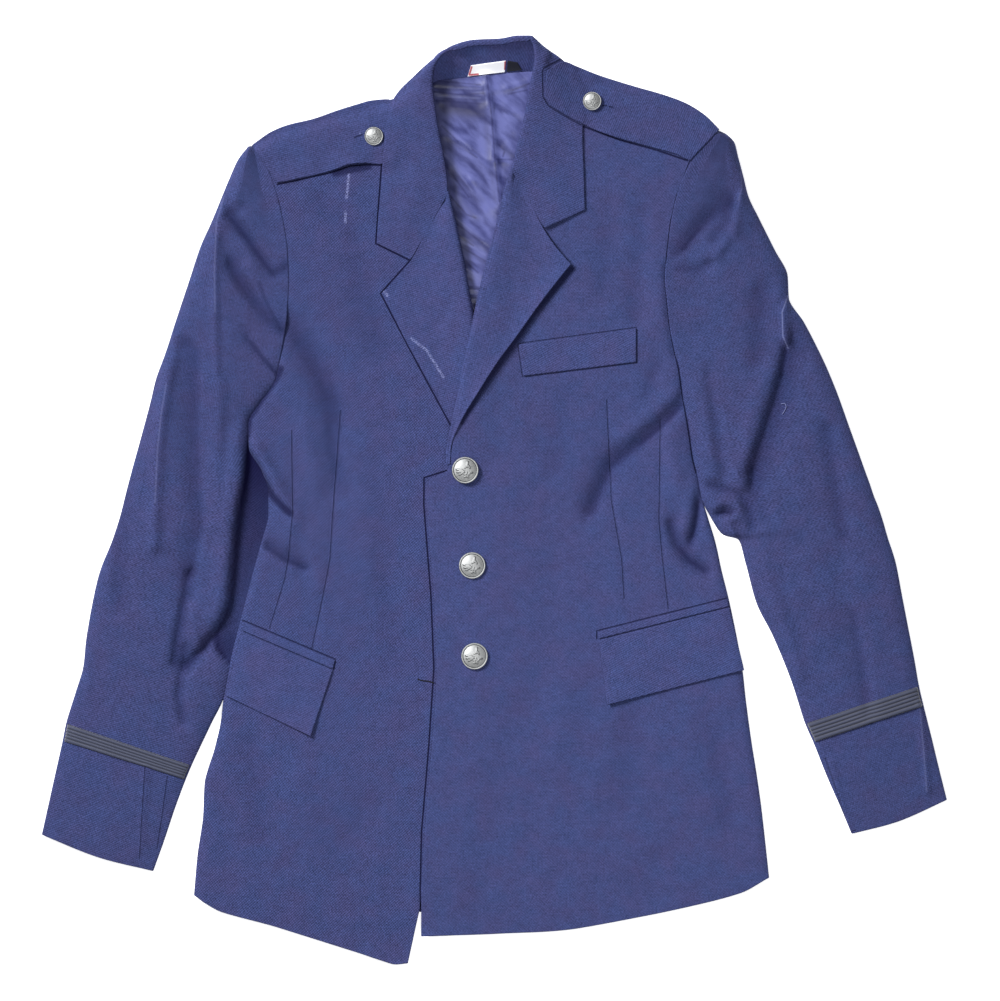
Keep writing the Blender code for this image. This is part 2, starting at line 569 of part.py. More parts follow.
def make_sleeve_under(side):
    """The lower half of one sleeve, flat on the floor inside the rolled edges."""
    inner, outer = sleeve_edges(side)
    inner, outer = inset_rows(inner[1:], outer[1:], PLATE_INSET, PLATE_INSET)
    flat_plate(f"sleeve_under_{side}", inner, outer, "cloth")


def make_braid(side, sleeve_top):
    """A ribbed band on one sleeve, from the sleeve's own points moved out."""
    row = (BRAID_ROW_RIGHT if side == "right" else BRAID_ROW_LEFT) + len(shared_table(side))
    row += len(SHOULDER_STEPS) - 1
    normals = grid_normals(sleeve_top)
    shares = np.linspace(0.0, 1.0, 2 * BRAID_RIBS + 1)
    ribs = BRAID_WALL + BRAID_RIB * (np.arange(len(shares)) % 2)
    upper, lower = sleeve_top[row], sleeve_top[row + 1]
    points = upper + (lower - upper) * shares[:, None, None]
    normal = normals[row] + (normals[row + 1] - normals[row]) * shares[:, None, None]
    under = points + REST_GAP * normal
    top = points + normal * (REST_GAP + ribs)[:, None, None]
    wall_from_grids(f"sleeve_braid_{side}", top, under, "braid")


# ---------------------------------------------------------------- neck
def make_lining():
    """The lining of the back, seen in the neck, with its centre pleat and creases."""
    span = np.array(LINING_SPAN, dtype=float)
    share = np.linspace(0.0, 1.0, LINING_CELLS + 1)
    x = span[:, 1:2] + (span[:, 2:3] - span[:, 1:2]) * share
    y = np.repeat(span[:, 0:1], len(share), axis=1)
    z = WALL + REST_GAP + LINING + np.maximum(fold_heights(LINING_FOLDS, x, y), 0.0)
    top = np.stack([x, y, z], axis=-1)
    wall_from_grids("lining_back", top, top - [0.0, 0.0, LINING], "lining")


def make_stand():
    """The collar's stand round the back of the neck, from its seam up to the roll."""
    rows = np.array(STAND, dtype=float)
    share = np.linspace(0.0, 1.0, STAND_CELLS + 1)[None, :, None]
    top = rows[:, None, 0:3] + (rows[:, None, 3:6] - rows[:, None, 0:3]) * share
    shell("collar_stand", top[:, ::-1], TRIM, "cloth")


def lay_heights(plan, names, thickness):
    """Height of a piece's upper side where it rests on the named solids."""
    flat = [support_height(x, y, names) for x, y in plan.reshape(-1, 2)]
    return np.array(flat).reshape(plan.shape[:2]) + REST_GAP + thickness


def finish_laid(name, top, thickness, names, finish, gap=REST_GAP):
    """Close a laid piece's wall after lifting it clear of what it lies on."""
    under = top - thickness * grid_normals(top)
    lift = lift_clear(under, names, gap)
    top[..., 2] += lift
    under[..., 2] += lift
    return wall_from_grids(name, top, under, finish)


def make_lapel(side, names):
    """A lapel: it rolls up out of the front's edge and lies back on the front."""
    rows = np.array(LAPEL_RIGHT if side == "right" else LAPEL_LEFT, dtype=float)
    share, below, drop = np.array(LAPEL_SECTION, dtype=float).T
    plan = rows[:, None, 0:2] + (rows[:, None, 2:4] - rows[:, None, 0:2]) * share[:, None]
    lay = lay_heights(plan, names, TRIM)
    steady = np.searchsorted(share, LAY_FROM)
    lay[:, :steady] = lay[:, steady:steady + 1]
    roll = read_table(ROLL_HEIGHT_RIGHT if side == "right" else ROLL_HEIGHT_LEFT, rows[:, 1])[:, None]
    narrow = np.clip(np.linalg.norm(rows[:, 2:4] - rows[:, 0:2], axis=1) / NARROW_LAPEL, 0.0, 1.0)
    roll = lay.max(axis=1, keepdims=True) * (1.0 - narrow[:, None]) + roll * narrow[:, None]
    roll = np.maximum(roll, lay + 0.3)
    z = roll - below * narrow[:, None] - drop * (roll - lay)
    finish_laid(f"lapel_{side}", np.concatenate([plan, z[..., None]], axis=-1), TRIM, names, "cloth")


def make_collar(names):
    """The collar's leaf: from one front corner, round behind the neck, to the other."""
    rows = np.array(LEAF, dtype=float)
    share, below, drop, hang_out, hang_below, hang_drop = np.array(LEAF_SECTION, dtype=float).T
    roll_line, edge_line, hang = rows[:, 0:2], rows[:, 2:4], rows[:, 4]
    plan = roll_line[:, None] + (edge_line - roll_line)[:, None] * share[:, None]
    for notch, order in ((LEAF_NOTCH_RIGHT, 1), (LEAF_NOTCH_LEFT, -1)):
        first, corner = roll_line[::order][0], edge_line[::order][0]
        away = np.array(notch) - (first + corner) / 2.0
        bend = np.interp(share, [0.0, LEAF_NOTCH_SHARE, 1.0], [0.0, 1.0, 0.0])
        fade = np.zeros(len(rows))
        fade[:len(NOTCH_FADE)] = NOTCH_FADE
        plan += fade[::order, None, None] * bend[:, None] * away
    tangent = np.gradient(roll_line, axis=0)
    outward = np.stack([-tangent[:, 1], tangent[:, 0]], axis=-1)
    outward /= np.linalg.norm(outward, axis=1, keepdims=True)
    hanging = roll_line[:, None] + outward[:, None] * hang_out[:, None]
    weight = hang[:, None, None]
    plan = plan * (1.0 - weight) + hanging * weight
    right = np.arange(len(rows)) < len(rows) // 2
    roll = np.where(right, read_table(ROLL_HEIGHT_RIGHT, rows[:, 1]), read_table(ROLL_HEIGHT_LEFT, rows[:, 1]))
    roll = roll[:, None]
    lay = lay_heights(plan, names, TRIM)
    steady = np.searchsorted(share, LAY_FROM)
    lay[:, :steady] = lay[:, steady:steady + 1]
    lay = np.maximum(lay, lay.max(axis=1, keepdims=True) - LEAF_SAG)
    lying = roll - below - drop * (roll - lay)
    down = roll - hang_below - hang_drop * (roll - HANG_FOOT)
    z = lying * (1.0 - hang[:, None]) + down * hang[:, None]
    finish_laid("collar", np.concatenate([plan, z[..., None]], axis=-1), TRIM, names, "cloth", COLLAR_GAP)


# ---------------------------------------------------------------- pieces that lie on the fronts
def make_strap(side, names):
    """A shoulder strap, from the armhole seam to its pointed end by the collar."""
    rows = np.array(STRAP_RIGHT if side == "right" else STRAP_LEFT, dtype=float)
    share = np.linspace(0.0, 1.0, STRAP_CELLS + 1)[:, None]
    plan = rows[:, None, 0:2] + (rows[:, None, 2:4] - rows[:, None, 0:2]) * share
    lay = lay_heights(plan, names, TRIM)
    lay = np.maximum(lay, lay.max(axis=1, keepdims=True) - STRAP_SAG)
    finish_laid(f"shoulder_strap_{side}", np.concatenate([plan, lay[..., None]], axis=-1), TRIM, names,
                "cloth")


def patch_plan(corners, along, across, corner_share):
    """A four-cornered plan grid whose two lower corners are rounded."""
    inner_top, outer_top, outer_low, inner_low = (np.array(c, dtype=float) for c in corners)
    u = np.linspace(0.0, 1.0, along + 1)
    if corner_share:
        near = corner_share * (1.0 - np.cos(ROLL_ANGLES))
        u = np.concatenate([near, np.linspace(near[-1], 1.0 - near[-1], along - 5)[1:-1], 1.0 - near[::-1]])
    v = np.linspace(0.0, 1.0, across + 1)
    top = inner_top + (outer_top - inner_top) * u[:, None]
    low = inner_low + (outer_low - inner_low) * u[:, None]
    if corner_share:
        end = np.minimum(u, 1.0 - u)
        short = 1.0 - np.sqrt(np.clip(1.0 - (1.0 - np.minimum(end / corner_share, 1.0)) ** 2, 0.0, 1.0))
        width = np.linalg.norm(inner_low - outer_low)
        depth = np.linalg.norm(inner_low - inner_top)
        low = low + (top - low) * (short * corner_share * width / depth)[:, None]
    return top[:, None] + (low - top)[:, None] * v[:, None]


def make_patch(name, corners, cells, corner_share, belly, names):
    """A flap, jetting or welt that lies on a front, with a soft belly."""
    plan = patch_plan(corners, *cells, corner_share)
    lay = lay_heights(plan, names, TRIM)
    lay = np.maximum(lay, np.median(lay) - PATCH_SAG)
    u = np.linspace(0.0, 1.0, plan.shape[0])[:, None]
    v = np.linspace(0.0, 1.0, plan.shape[1])[None, :]
    lay = lay + belly * np.sin(math.pi * u) * np.sin(math.pi * np.minimum(0.5 + 0.5 * v, 1.0)) * 2.0 * v
    finish_laid(name, np.concatenate([plan, lay[..., None]], axis=-1), TRIM, names, "cloth")


def make_tab(name, corners, finish, names):
    """A small flat tab, such as the neck label, on what it is sewn to."""
    plan = patch_plan(corners, 4, 2, 0.0)
    lay = lay_heights(plan, names, TAB_WALL)
    finish_laid(name, np.concatenate([plan, lay[..., None]], axis=-1), TAB_WALL, names, finish)


def make_button(name, centre, diameter, names):
    """A turned button on its shank, set just clear of the cloth under it."""
    radius = diameter / 2.0
    turn = np.arange(BUTTON_SIDES) * 2.0 * math.pi / BUTTON_SIDES
    circle = np.column_stack([np.cos(turn), np.sin(turn)])
    profile = np.array(BUTTON_PROFILE, dtype=float) * radius
    base = 0.0
    for ring, height in profile[:4]:
        for x, y in np.array(centre) + circle * ring:
            base = max(base, support_height(x, y, names) - height)
    base += REST_GAP
    points = [(*centre, base)]
    for ring, height in profile:
        points += [(x, y, base + height) for x, y in np.array(centre) + circle * ring]
    points.append((*centre, base + BUTTON_TOP * radius))
    faces = []
    for i in range(BUTTON_SIDES):
        j = (i + 1) % BUTTON_SIDES
        faces.append([0, 1 + j, 1 + i])
        for ring in range(len(profile) - 1):
            low, high = 1 + ring * BUTTON_SIDES, 1 + (ring + 1) * BUTTON_SIDES
            faces.append([low + i, low + j, high + j, high + i])
        last = 1 + (len(profile) - 1) * BUTTON_SIDES
        faces.append([last + i, last + j, len(points) - 1])
    add_solid(name, points, faces, "button")


def main():
    for old in list(bpy.data.objects):
        bpy.data.objects.remove(old, do_unlink=True)
    for side in ("right", "left"):
        make_back(side)
        make_sleeve_under(side)
        sleeve_top, sleeve_in = sleeve_grids(side)
        wall_from_grids(f"sleeve_top_{side}", sleeve_top, sleeve_in, "cloth")
        make_braid(side, sleeve_top)
    make_lining()
    make_front("right", ["lining_back"])
    make_patch("pocket_jet_right", JET_RIGHT, (8, 1), 0.0, 0.0, ["front_right"])
    make_patch("pocket_flap_right", FLAP_RIGHT, (12, 4), FLAP_CORNER, FLAP_BELLY, ["front_right"])
    make_lapel("right", ["front_right", "lining_back"])
    make_front("left", ["front_right", "lapel_right", "lining_back"])
    make_patch("pocket_jet_left", JET_LEFT, (8, 1), 0.0, 0.0, ["front_left"])
    make_patch("pocket_flap_left", FLAP_LEFT, (12, 4), FLAP_CORNER, FLAP_BELLY, ["front_left"])
    make_patch("breast_welt", WELT, (8, 2), 0.0, 0.0, ["front_left"])
    make_lapel("left", ["front_left", "front_right", "lapel_right", "lining_back"])
    make_stand()
    make_strap("right", ["front_right"])
    make_collar(["front_right", "front_left", "shoulder_strap_right", "collar_stand"])
    make_strap("left", ["front_left", "collar"])
    make_tab("neck_label", LABEL, "label", ["collar_stand", "lining_back"])
    make_tab("hanger_loop", LOOP, "tape", ["collar_stand", "lining_back"])
    for number, centre in enumerate(FRONT_BUTTONS, start=1):
        make_button(f"front_button_{number}", centre, TOP_BUTTON, ["front_left", "lapel_left"])
    for side, centre in STRAP_BUTTONS.items():
        make_button(f"strap_button_{side}", centre, STRAP_BUTTON, [f"shoulder_strap_{side}"])


main()
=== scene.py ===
# %% [markdown]
# # A military dress tunic, laid flat
# This notebook dresses a plain solid model of a buttoned wool coat as the real one looks. The coat
# lies on its back with its sleeves at its sides. Each piece that a tailor would cut gets its own
# surface here, and each surface is a function of two numbers: how far down the piece a point is,
# and how far across it.

# %% Load the solid model
import math

import bpy
import numpy as np
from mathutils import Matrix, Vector


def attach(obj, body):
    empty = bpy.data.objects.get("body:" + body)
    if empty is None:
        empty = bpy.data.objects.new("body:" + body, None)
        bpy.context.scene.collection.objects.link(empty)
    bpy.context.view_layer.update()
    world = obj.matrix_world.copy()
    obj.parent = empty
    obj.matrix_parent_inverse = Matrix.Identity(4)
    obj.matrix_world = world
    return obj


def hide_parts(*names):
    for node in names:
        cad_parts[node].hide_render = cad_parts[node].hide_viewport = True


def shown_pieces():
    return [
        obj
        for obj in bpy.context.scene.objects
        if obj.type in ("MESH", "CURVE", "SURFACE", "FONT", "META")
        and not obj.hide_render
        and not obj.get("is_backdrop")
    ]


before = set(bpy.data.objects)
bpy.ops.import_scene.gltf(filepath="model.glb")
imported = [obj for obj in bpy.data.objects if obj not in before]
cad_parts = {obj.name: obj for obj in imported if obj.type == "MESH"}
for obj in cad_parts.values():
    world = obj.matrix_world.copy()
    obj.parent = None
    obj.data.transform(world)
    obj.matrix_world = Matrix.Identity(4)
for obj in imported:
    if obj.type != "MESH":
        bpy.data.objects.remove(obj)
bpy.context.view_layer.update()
MM = 0.001

# %% [markdown]
# ## Driving sizes
# All sizes are in millimetres until a mesh is made. The cloth thicknesses, the gaps and the section
# tables are those of the solid model, so that each surface lies where its solid does. The spacing
# says how far apart the points of a fine surface are.

# %% Driving sizes
WALL = 1.6  # body and sleeve cloth with its interlining
TRIM = 1.4  # collar, lapels, flaps and shoulder straps
LINING = 1.0
SEAM_GAP = 0.25
REST_GAP = 0.45
SPACING = 2.6
LOW_ROLL = 3.0  # radius of the lower half of a folded side
BODY_ROLL = 8.0  # plan radius of the upper half, on the body and on the sleeves
SLEEVE_ROLL = 12.0
SHOULDER_REACH = 0.6  # the shoulder's roll, as a share of the first gap between sections
FOLD_LIMIT = 5.6
FAR_AWAY = 40.0  # the distance in mm from a line that isn't there
RIM = np.array([0.0, 0.2, 0.5, 0.9, 1.6])  # points close to a cut edge, which round it
ROLL = np.radians([-90, -60, -30, 0, 10, 20, 30, 40, 50, 60, 70, 80, 90])
print("spacing of the points:", SPACING, "mm")

# %% [markdown]
# ## The coat's sections
# A tailor drafts a coat from a few measured lines across it. The tables do the same: each row is
# one line across the body or a sleeve, from the shoulder down. "right" and "left" are the
# wearer's. The armhole seam is one line that the sleeve and the front share.

# %% Section tables
# columns: seam_x, seam_y, outer_x, outer_y, centre_x, centre_y
SHARED = {
    "right": [
        (-206, 304.5, -211.5, 304, -63, 350), (-198, 292, -220, 293, -58, 318),
        (-189, 270, -229, 273, -53, 282), (-181, 236, -243, 239, -40, 244),
        (-178, 215, -252, 219, -31, 215), (-177, 188, -263, 186, -26, 190),
        (-179, 155, -274, 153, -20, 158), (-183, 130, -282, 128, -16, 134),
        (-189, 103, -291, 103, -10, 106), (-201, 85, -295, 86, -6, 88), (-212, 66, -300, 67, -2, 70),
        (-211, 46, -306, 45, 2, 52), (-200, 26, -311, 27, 4, 34), (-194, 8, -316, 8, 6, 12),
        (-194, -12, -321, -12, 7, -12), (-200, -36, -328, -34, 6, -38), (-208, -65, -340, -65, 4, -68),
        (-218, -103, -348, -103, -3, -106), (-225, -131, -351, -122, -9, -132),
        (-232, -166, -353, -142, -18, -165),
    ],
    "left": [
        (193, 317.5, 199.5, 314.5, 47, 372), (186, 309, 206, 308, 41, 342),
        (174, 298, 209.5, 295, 33, 312), (164, 281, 214, 278, 25, 290), (157, 262, 218, 262, 12, 264),
        (152, 239, 228, 241, 6, 238), (149, 214, 241, 215, 0, 214), (147, 191, 252, 193, -6, 190),
        (149, 171, 253, 174, -11, 172), (151, 151, 266, 153, -15, 152), (155, 130, 277, 132, -21, 130),
        (159, 113, 286, 113, -25, 113), (162, 92, 295, 91, -29, 92), (167, 63, 305, 63, -34, 63),
        (171, 36, 314, 38, -38, 37), (174, 24, 319, 24, -40, 26), (176, 13, 323, 13, -59, 16),
        (178, 3, 326, 4, -59, 4),
    ],
}
# columns: side_x, side_y, centre_x, centre_y, from the fork under the arm to the hem
BODY = {
    "right": [
        (-235, -191, -25, -192), (-240, -213, -32, -218), (-249, -245, -43, -262),
        (-250, -270, -53, -303), (-255, -306, -64, -352), (-258, -340, -74, -398),
    ],
    "left": [
        (183, -14, -58, -14), (190, -37, -56, -37), (195, -60, -54, -60), (201, -84, -52, -85),
        (208, -117, -51, -117), (213, -145, -50, -145), (216, -172, -51, -172), (221, -209, -54, -212),
        (225, -234, -57, -246), (229, -262, -60, -285), (233, -297, -63, -335), (236, -325, -63.3, -375),
    ],
}
# columns: inner_x, inner_y, outer_x, outer_y, from the fork to the cuff
ARM = {
    "right": [
        (-245, -194, -360, -166), (-261, -228, -368, -192), (-266, -240, -371, -207),
        (-275, -264, -377, -234), (-284, -291, -383, -261), (-294, -319, -389, -288),
    ],
    "left": [
        (186, -13, 330, -6), (197, -29, 334, -18), (210, -33, 338, -32), (217, -55, 345, -54),
        (226, -88, 350, -80), (240, -116, 355, -106), (256, -155, 361, -137), (268, -192, 365, -160),
        (275, -208, 369, -177), (287, -238, 376, -205), (298, -263, 382, -230), (308, -287, 389, -258),
    ],
}
FORK_START = {"right": 6, "left": 9}  # the shared row where the side starts to roll under
FORK_ROWS = 4
BRAID_ROW = {"right": 1, "left": 7}  # the row of ARM at the braid's upper edge

# How far an end line bows from straight: share of the way from the centre, and the bow.
HEM_BOW = {
    "right": [(0, 0), (0.08, -5), (0.30, -5), (0.60, -5), (0.87, -7), (0.95, -4), (1, 0)],
    "left": [(0, 0), (0.22, -9), (0.46, -16), (0.64, -15), (0.81, -12.5), (0.92, -9), (1, 0)],
}
SHOULDER_BOW = {
    "right": [(0, 0), (0.25, 3), (0.5, 4), (0.8, 5), (0.95, 2.5), (1, 0)],
    "left": [(0, 0), (0.2, 4), (0.45, 7), (0.75, 8), (0.93, 6), (1, 0)],
}
CUFF_BOW = [(0, 0), (0.5, -3.5), (1, 0)]
for side in ("right", "left"):
    print(side, "rows:", len(SHARED[side]), "shared,", len(BODY[side]), "body,", len(ARM[side]), "arm")

# %% [markdown]
# ## How high the cloth lies
# A coat on a table is a pile of layers: thin at the hem, thick at the chest and collar. The height
# tables give that pile, and each fold is a bell-shaped ridge or trough along a short line. Folds
# could be simulated, but a coat that was smoothed down by hand has its creases where they fell,
# so each one is placed one by one.

# %% Heights and folds
# columns: y, height
BODY_HEIGHT = [(-400, 4.8), (-340, 6.2), (-200, 7.5), (0, 8.5), (120, 10), (220, 13), (300, 16),
               (380, 17)]
SLEEVE_HEIGHT = [(-320, 6.2), (-240, 8), (-100, 11), (50, 13), (200, 14.5), (300, 16)]
ROLL_HEIGHT = {
    "right": [(50, 11), (134, 15), (200, 18), (263, 20), (320, 23), (356, 26), (380, 30), (400, 33)],
    "left": [(20, 11.5), (100, 15), (200, 19), (290, 21), (331, 23), (353, 26), (380, 31), (400, 34)],
}
SLEEVE_CROWN = 0.22
SEAM_REACH = 0.5
SEAM_RISE = 0.6

# columns: x0, y0, x1, y1, width, height (negative for a trough)
BODY_FOLDS = {
    "right": [
        (-165, 132, -144, 86, 11, -3), (-144, 86, -141, 6, 10, -3), (-210, 46, -173, -10, 9, 3.5),
        (-195, -28, -161, -57, 10, -3), (-177, 151, -146, 78, 17, -2.5), (-104, -258, -139, -303, 19, -2),
    ],
    "left": [
        (119, 258, 140, 155, 20, 3.5), (93, 75, 80, 6, 16, -2), (154, 75, 108, 35, 14, -3),
        (108, 35, 85, -6, 14, -2), (160, -17, 171, -51, 14, -3.5), (50, -51, 22, -86, 19, -1),
        (149, -303, 102, -355, 19, -1.5),
    ],
}
SLEEVE_FOLDS = {
    "right": [
        (-226, 241, -192, 211, 10, -5), (-229, 221, -192, 149, 11, -5.5), (-213, 139, -194, 112, 10, -4),
        (-237, 247, -241, 162, 9, 3), (-280, 116, -295, -37, 9, 2.5), (-269, 144, -257, -5, 12, -4.5),
        (-262, -37, -262, -84, 11, -3), (-275, -51, -275, -189, 11, -2.5),
        (-260, -103, -260, -189, 10, 2), (-234, -112, -264, -142, 14, -3), (-222, 6, -234, -103, 10, 3.5),
    ],
    "left": [
        (196, 267, 166, 213, 11, -5), (179, 190, 157, 174, 10, -4), (211, 285, 208, 232, 9, 3.5),
        (248, 176, 252, 130, 9, 2.5), (253, 127, 236, 85, 11, -4.5), (241, 104, 223, 19, 12, -4),
        (200, 2, 213, -31, 11, -3), (296, -52, 305, -116, 11, -3.5), (305, -116, 315, -172, 11, -3),
    ],
}
print("wide folds:", sum(len(table[side]) for table in (BODY_FOLDS, SLEEVE_FOLDS) for side in table))

# %% [markdown]
# ## Reading a table smoothly
# The tables have few rows, so a fine surface needs a curve through them. A plain spline swings past
# its points at a corner, such as the step under the lapel. This cubic doesn't: its slope at each
# row is the harmonic mean of the slopes on both sides, and nought where they have opposite signs.

# %% Curves through tables
def step(value):
    """A smooth step: 3v² − 2v³ between 0 and 1."""
    value = np.clip(value, 0.0, 1.0)
    return value * value * (3.0 - 2.0 * value)


def smooth_curve(knots, values, at):
    """The monotone cubic through (knots, values), read at many places at once."""
    knots, values, at = np.asarray(knots, float), np.asarray(values, float), np.asarray(at, float)
    wide = values.ndim == 2
    gap = np.diff(knots)
    rise = np.diff(values, axis=0) / (gap[:, None] if wide else gap)
    turn = rise[:-1] * rise[1:]
    slope = np.empty_like(values)
    slope[1:-1] = np.where(turn > 0, 2.0 * turn / np.where(turn > 0, rise[:-1] + rise[1:], 1.0), 0.0)
    slope[0], slope[-1] = rise[0], rise[-1]
    i = np.clip(np.searchsorted(knots, at, side="right") - 1, 0, len(gap) - 1)
    h = gap[i]
    t = (np.clip(at, knots[0], knots[-1]) - knots[i]) / h
    if wide:
        h, t = h[..., None], t[..., None]
    start = (1 + 2 * t) * (1 - t) ** 2 * values[i] + t * (1 - t) ** 2 * h * slope[i]
    end = t * t * (3 - 2 * t) * values[i + 1] + t * t * (t - 1) * h * slope[i + 1]
    return start + end


def read_table(table, at):
    """A two-column table as a smooth curve."""
    knots, values = np.asarray(table, float).T
    return smooth_curve(knots, values, at)


def read_rows(rows, at, corners=()):
    """A table's rows as a smooth curve over row numbers, with a sharp turn at each corner row."""
    result = np.empty((len(at), np.shape(rows)[1]))
    stops = [0, *corners, len(rows) - 1]
    for first, last in zip(stops[:-1], stops[1:]):
        inside = (at >= first) & (at <= last)
        result[inside] = smooth_curve(np.arange(first, last + 1), rows[first:last + 1], at[inside])
    return result


def snap(at, corners):
    """Move the nearest place onto each corner row, so that the grid has a point there."""
    for corner in corners:
        at[np.argmin(np.abs(at - corner))] = corner
    return at


def steps(length, spacing, fine_start=True, fine_end=True):
    """Places from 0 to length, about evenly apart, with the rim's close places at each cut end."""
    start = RIM if fine_start else RIM[:1]
    end = length - RIM[::-1] if fine_end else np.array([length])
    count = max(2, round((end[0] - start[-1]) / spacing))
    return np.concatenate([start, np.linspace(start[-1], end[0], count + 1)[1:-1], end])


def running_length(points):
    """Length along a line of points, from 0 at the first: each step's length added to the last."""
    return np.concatenate([[0.0], np.linalg.norm(np.diff(points, axis=0), axis=1).cumsum()])


def even_rows(length, spacing):
    """Row numbers a spacing apart along a table's line, with the rim's close places at both ends."""
    return np.interp(steps(length[-1], spacing), length, np.arange(len(length)))


print("body height at y = 0 mm:", round(float(read_table(BODY_HEIGHT, 0.0)), 2), "mm")


# %% [markdown]
# ## Folds and seams as distances
# Both a fold and a seam are a distance from a line. A fold turns the distance into a height with a
# bell curve, worked out here for each point of the mesh. A seam is thinner than the points are
# apart, so the cloth's material measures that distance itself and draws the groove, which stays
# crisp. Sculpting could do both, but a table of lines can be read and changed.

# %% Distances and folds
SHADE_START = 0.08  # troughs shallower than this share of the limit stay light


def trough_shade(height):
    """How deep in its folds a point lies, 0 on the open cloth to 1: −height / limit − the start."""
    return np.clip(-height / FOLD_LIMIT - SHADE_START, 0.0, 1.0)


def distance_to_segment(x, y, x0, y0, x1, y1):
    """Plan distance from each point to the segment's nearest place."""
    run_x, run_y = x1 - x0, y1 - y0
    share = np.clip(((x - x0) * run_x + (y - y0) * run_y) / (run_x**2 + run_y**2), 0.0, 1.0)
    return np.hypot(x - x0 - share * run_x, y - y0 - share * run_y)


def distance_to_lines(lines, x, y):
    """Plan distance to the nearest of several lines, each a list of points."""
    best = np.full(np.shape(x), FAR_AWAY)
    for line in lines:
        for (x0, y0), (x1, y1) in zip(line[:-1], line[1:]):
            best = np.minimum(best, distance_to_segment(x, y, x0, y0, x1, y1))
    return best


def left_of(x, y, x0, y0, x1, y1):
    """Which side of a segment: the tanh of the distance in mm to its left, so −1 to 1."""
    return np.tanh(((x1 - x0) * (y - y0) - (y1 - y0) * (x - x0)) / math.hypot(x1 - x0, y1 - y0))


def fold_heights(folds, x, y, power=2.0):
    """Sum over the folds of height · exp(−(distance / width)²), held within FOLD_LIMIT by a tanh.

    A power below 2 makes a fold's crest sharp, as in thin satin. A lean makes the fold's slope
    gentle on the left of its line and steep on the right, or the other way round if negative."""
    total = np.zeros(np.shape(x))
    for x0, y0, x1, y1, width, height, *lean in folds:
        away = distance_to_segment(x, y, x0, y0, x1, y1)
        reach = width * (1 + left_of(x, y, x0, y0, x1, y1) * (lean[0] if lean else 0.0))
        total += height * np.exp(-((away / reach) ** power))
    return FOLD_LIMIT * np.tanh(total / FOLD_LIMIT)


def crease_heights(creases, x, y):
    """Sum over the creases of height · exp(−(distance / width)²) along a line of points.

    The distance is to the nearest segment, and a lean makes the bell steeper on one side."""
    total = np.zeros(np.shape(x))
    for width, height, lean, line in creases:
        best, left = np.full(np.shape(x), FAR_AWAY), np.zeros(np.shape(x))
        for (x0, y0), (x1, y1) in zip(line[:-1], line[1:]):
            away = distance_to_segment(x, y, x0, y0, x1, y1)
            left = np.where(away < best, left_of(x, y, x0, y0, x1, y1), left)
            best = np.minimum(best, away)
        total += height * np.exp(-((best / (width * (1 + lean * left))) ** 2))
    return total


RIPPLE_HEIGHT, RIPPLE_WAVES = 0.22, 18
RIPPLE_LENGTHS = (22, 70)


def ripple(x, y, seed):
    """Faint unevenness: a sum of plane sine waves in directions drawn once per seed."""
    draw = np.random.default_rng(seed)
    total = np.zeros(np.shape(x))
    for _ in range(RIPPLE_WAVES):
        angle = draw.uniform(0, math.pi)
        length = draw.uniform(*RIPPLE_LENGTHS)
        phase = draw.uniform(0, 2 * math.pi)
        total += np.sin((x * math.cos(angle) + y * math.sin(angle)) * 2 * math.pi / length + phase)
    return RIPPLE_HEIGHT * total / math.sqrt(RIPPLE_WAVES)


print("deepest trough of a 3 mm fold:", round(float(fold_heights([(0, 0, 9, 0, 9, -3)], 0.0, 0.0)), 2), "mm")


# %% [markdown]
# ## From a grid of points to a piece of cloth
# A piece of cloth is a surface with a thickness. The grid is its middle, and the outer and inner
# sides lie half a thickness away along the normals. Near a cut edge the thickness closes like a
# half circle: h = t/2 · √(1 − (1 − d/(t/2))²), where d is the distance to the edge. The two sides
# share their border points, so the mesh is closed without a separate rim. Solidify could do this
# too, but it would leave square edges.

# %% Cloth from grids
def grid_normals(grid, top_columns=slice(None)):
    """Unit normals of a grid, and whether they had to be turned so that the top faces up."""
    normal = np.cross(np.gradient(grid, axis=1), np.gradient(grid, axis=0))
    normal /= np.maximum(np.linalg.norm(normal, axis=-1, keepdims=True), 1e-9)
    turned = normal[:, top_columns, 2].sum() < 0
    return (-normal if turned else normal), turned


def edge_distance(grid):
    """Distance to the grid's nearest border, measured along the grid's own lines."""
    best = np.full(grid.shape[:2], np.inf)
    for axis in (0, 1):
        length = np.linalg.norm(np.diff(grid, axis=axis), axis=-1).cumsum(axis=axis)
        length = np.concatenate([np.zeros_like(np.take(length, [0], axis)), length], axis=axis)
        whole = np.take(length, [-1], axis)
        best = np.minimum(best, np.minimum(length, whole - length))
    return best


def grain_of(grid):
    """Cloth coordinates in mm: the mean length across and along the grid at each point."""
    coordinates = []
    for axis in (1, 0):
        length = np.linalg.norm(np.diff(grid, axis=axis), axis=-1).mean(axis=1 - axis)
        length = np.concatenate([[0.0], length.cumsum()])
        coordinates.append(np.broadcast_to(np.expand_dims(length, 1 - axis), grid.shape[:2]))
    return np.stack([coordinates[0], coordinates[1], np.zeros(grid.shape[:2])], axis=-1)


def laid_grain(grid, turn, mirror=1.0):
    """Cloth coordinates of a piece that lies flat: its plan, turned by some degrees."""
    lean = math.radians(turn)
    x, y = mirror * grid[..., 0], grid[..., 1]
    turned = [x * math.cos(lean) - y * math.sin(lean), x * math.sin(lean) + y * math.cos(lean)]
    return np.stack([*turned, np.zeros(x.shape)], axis=-1)


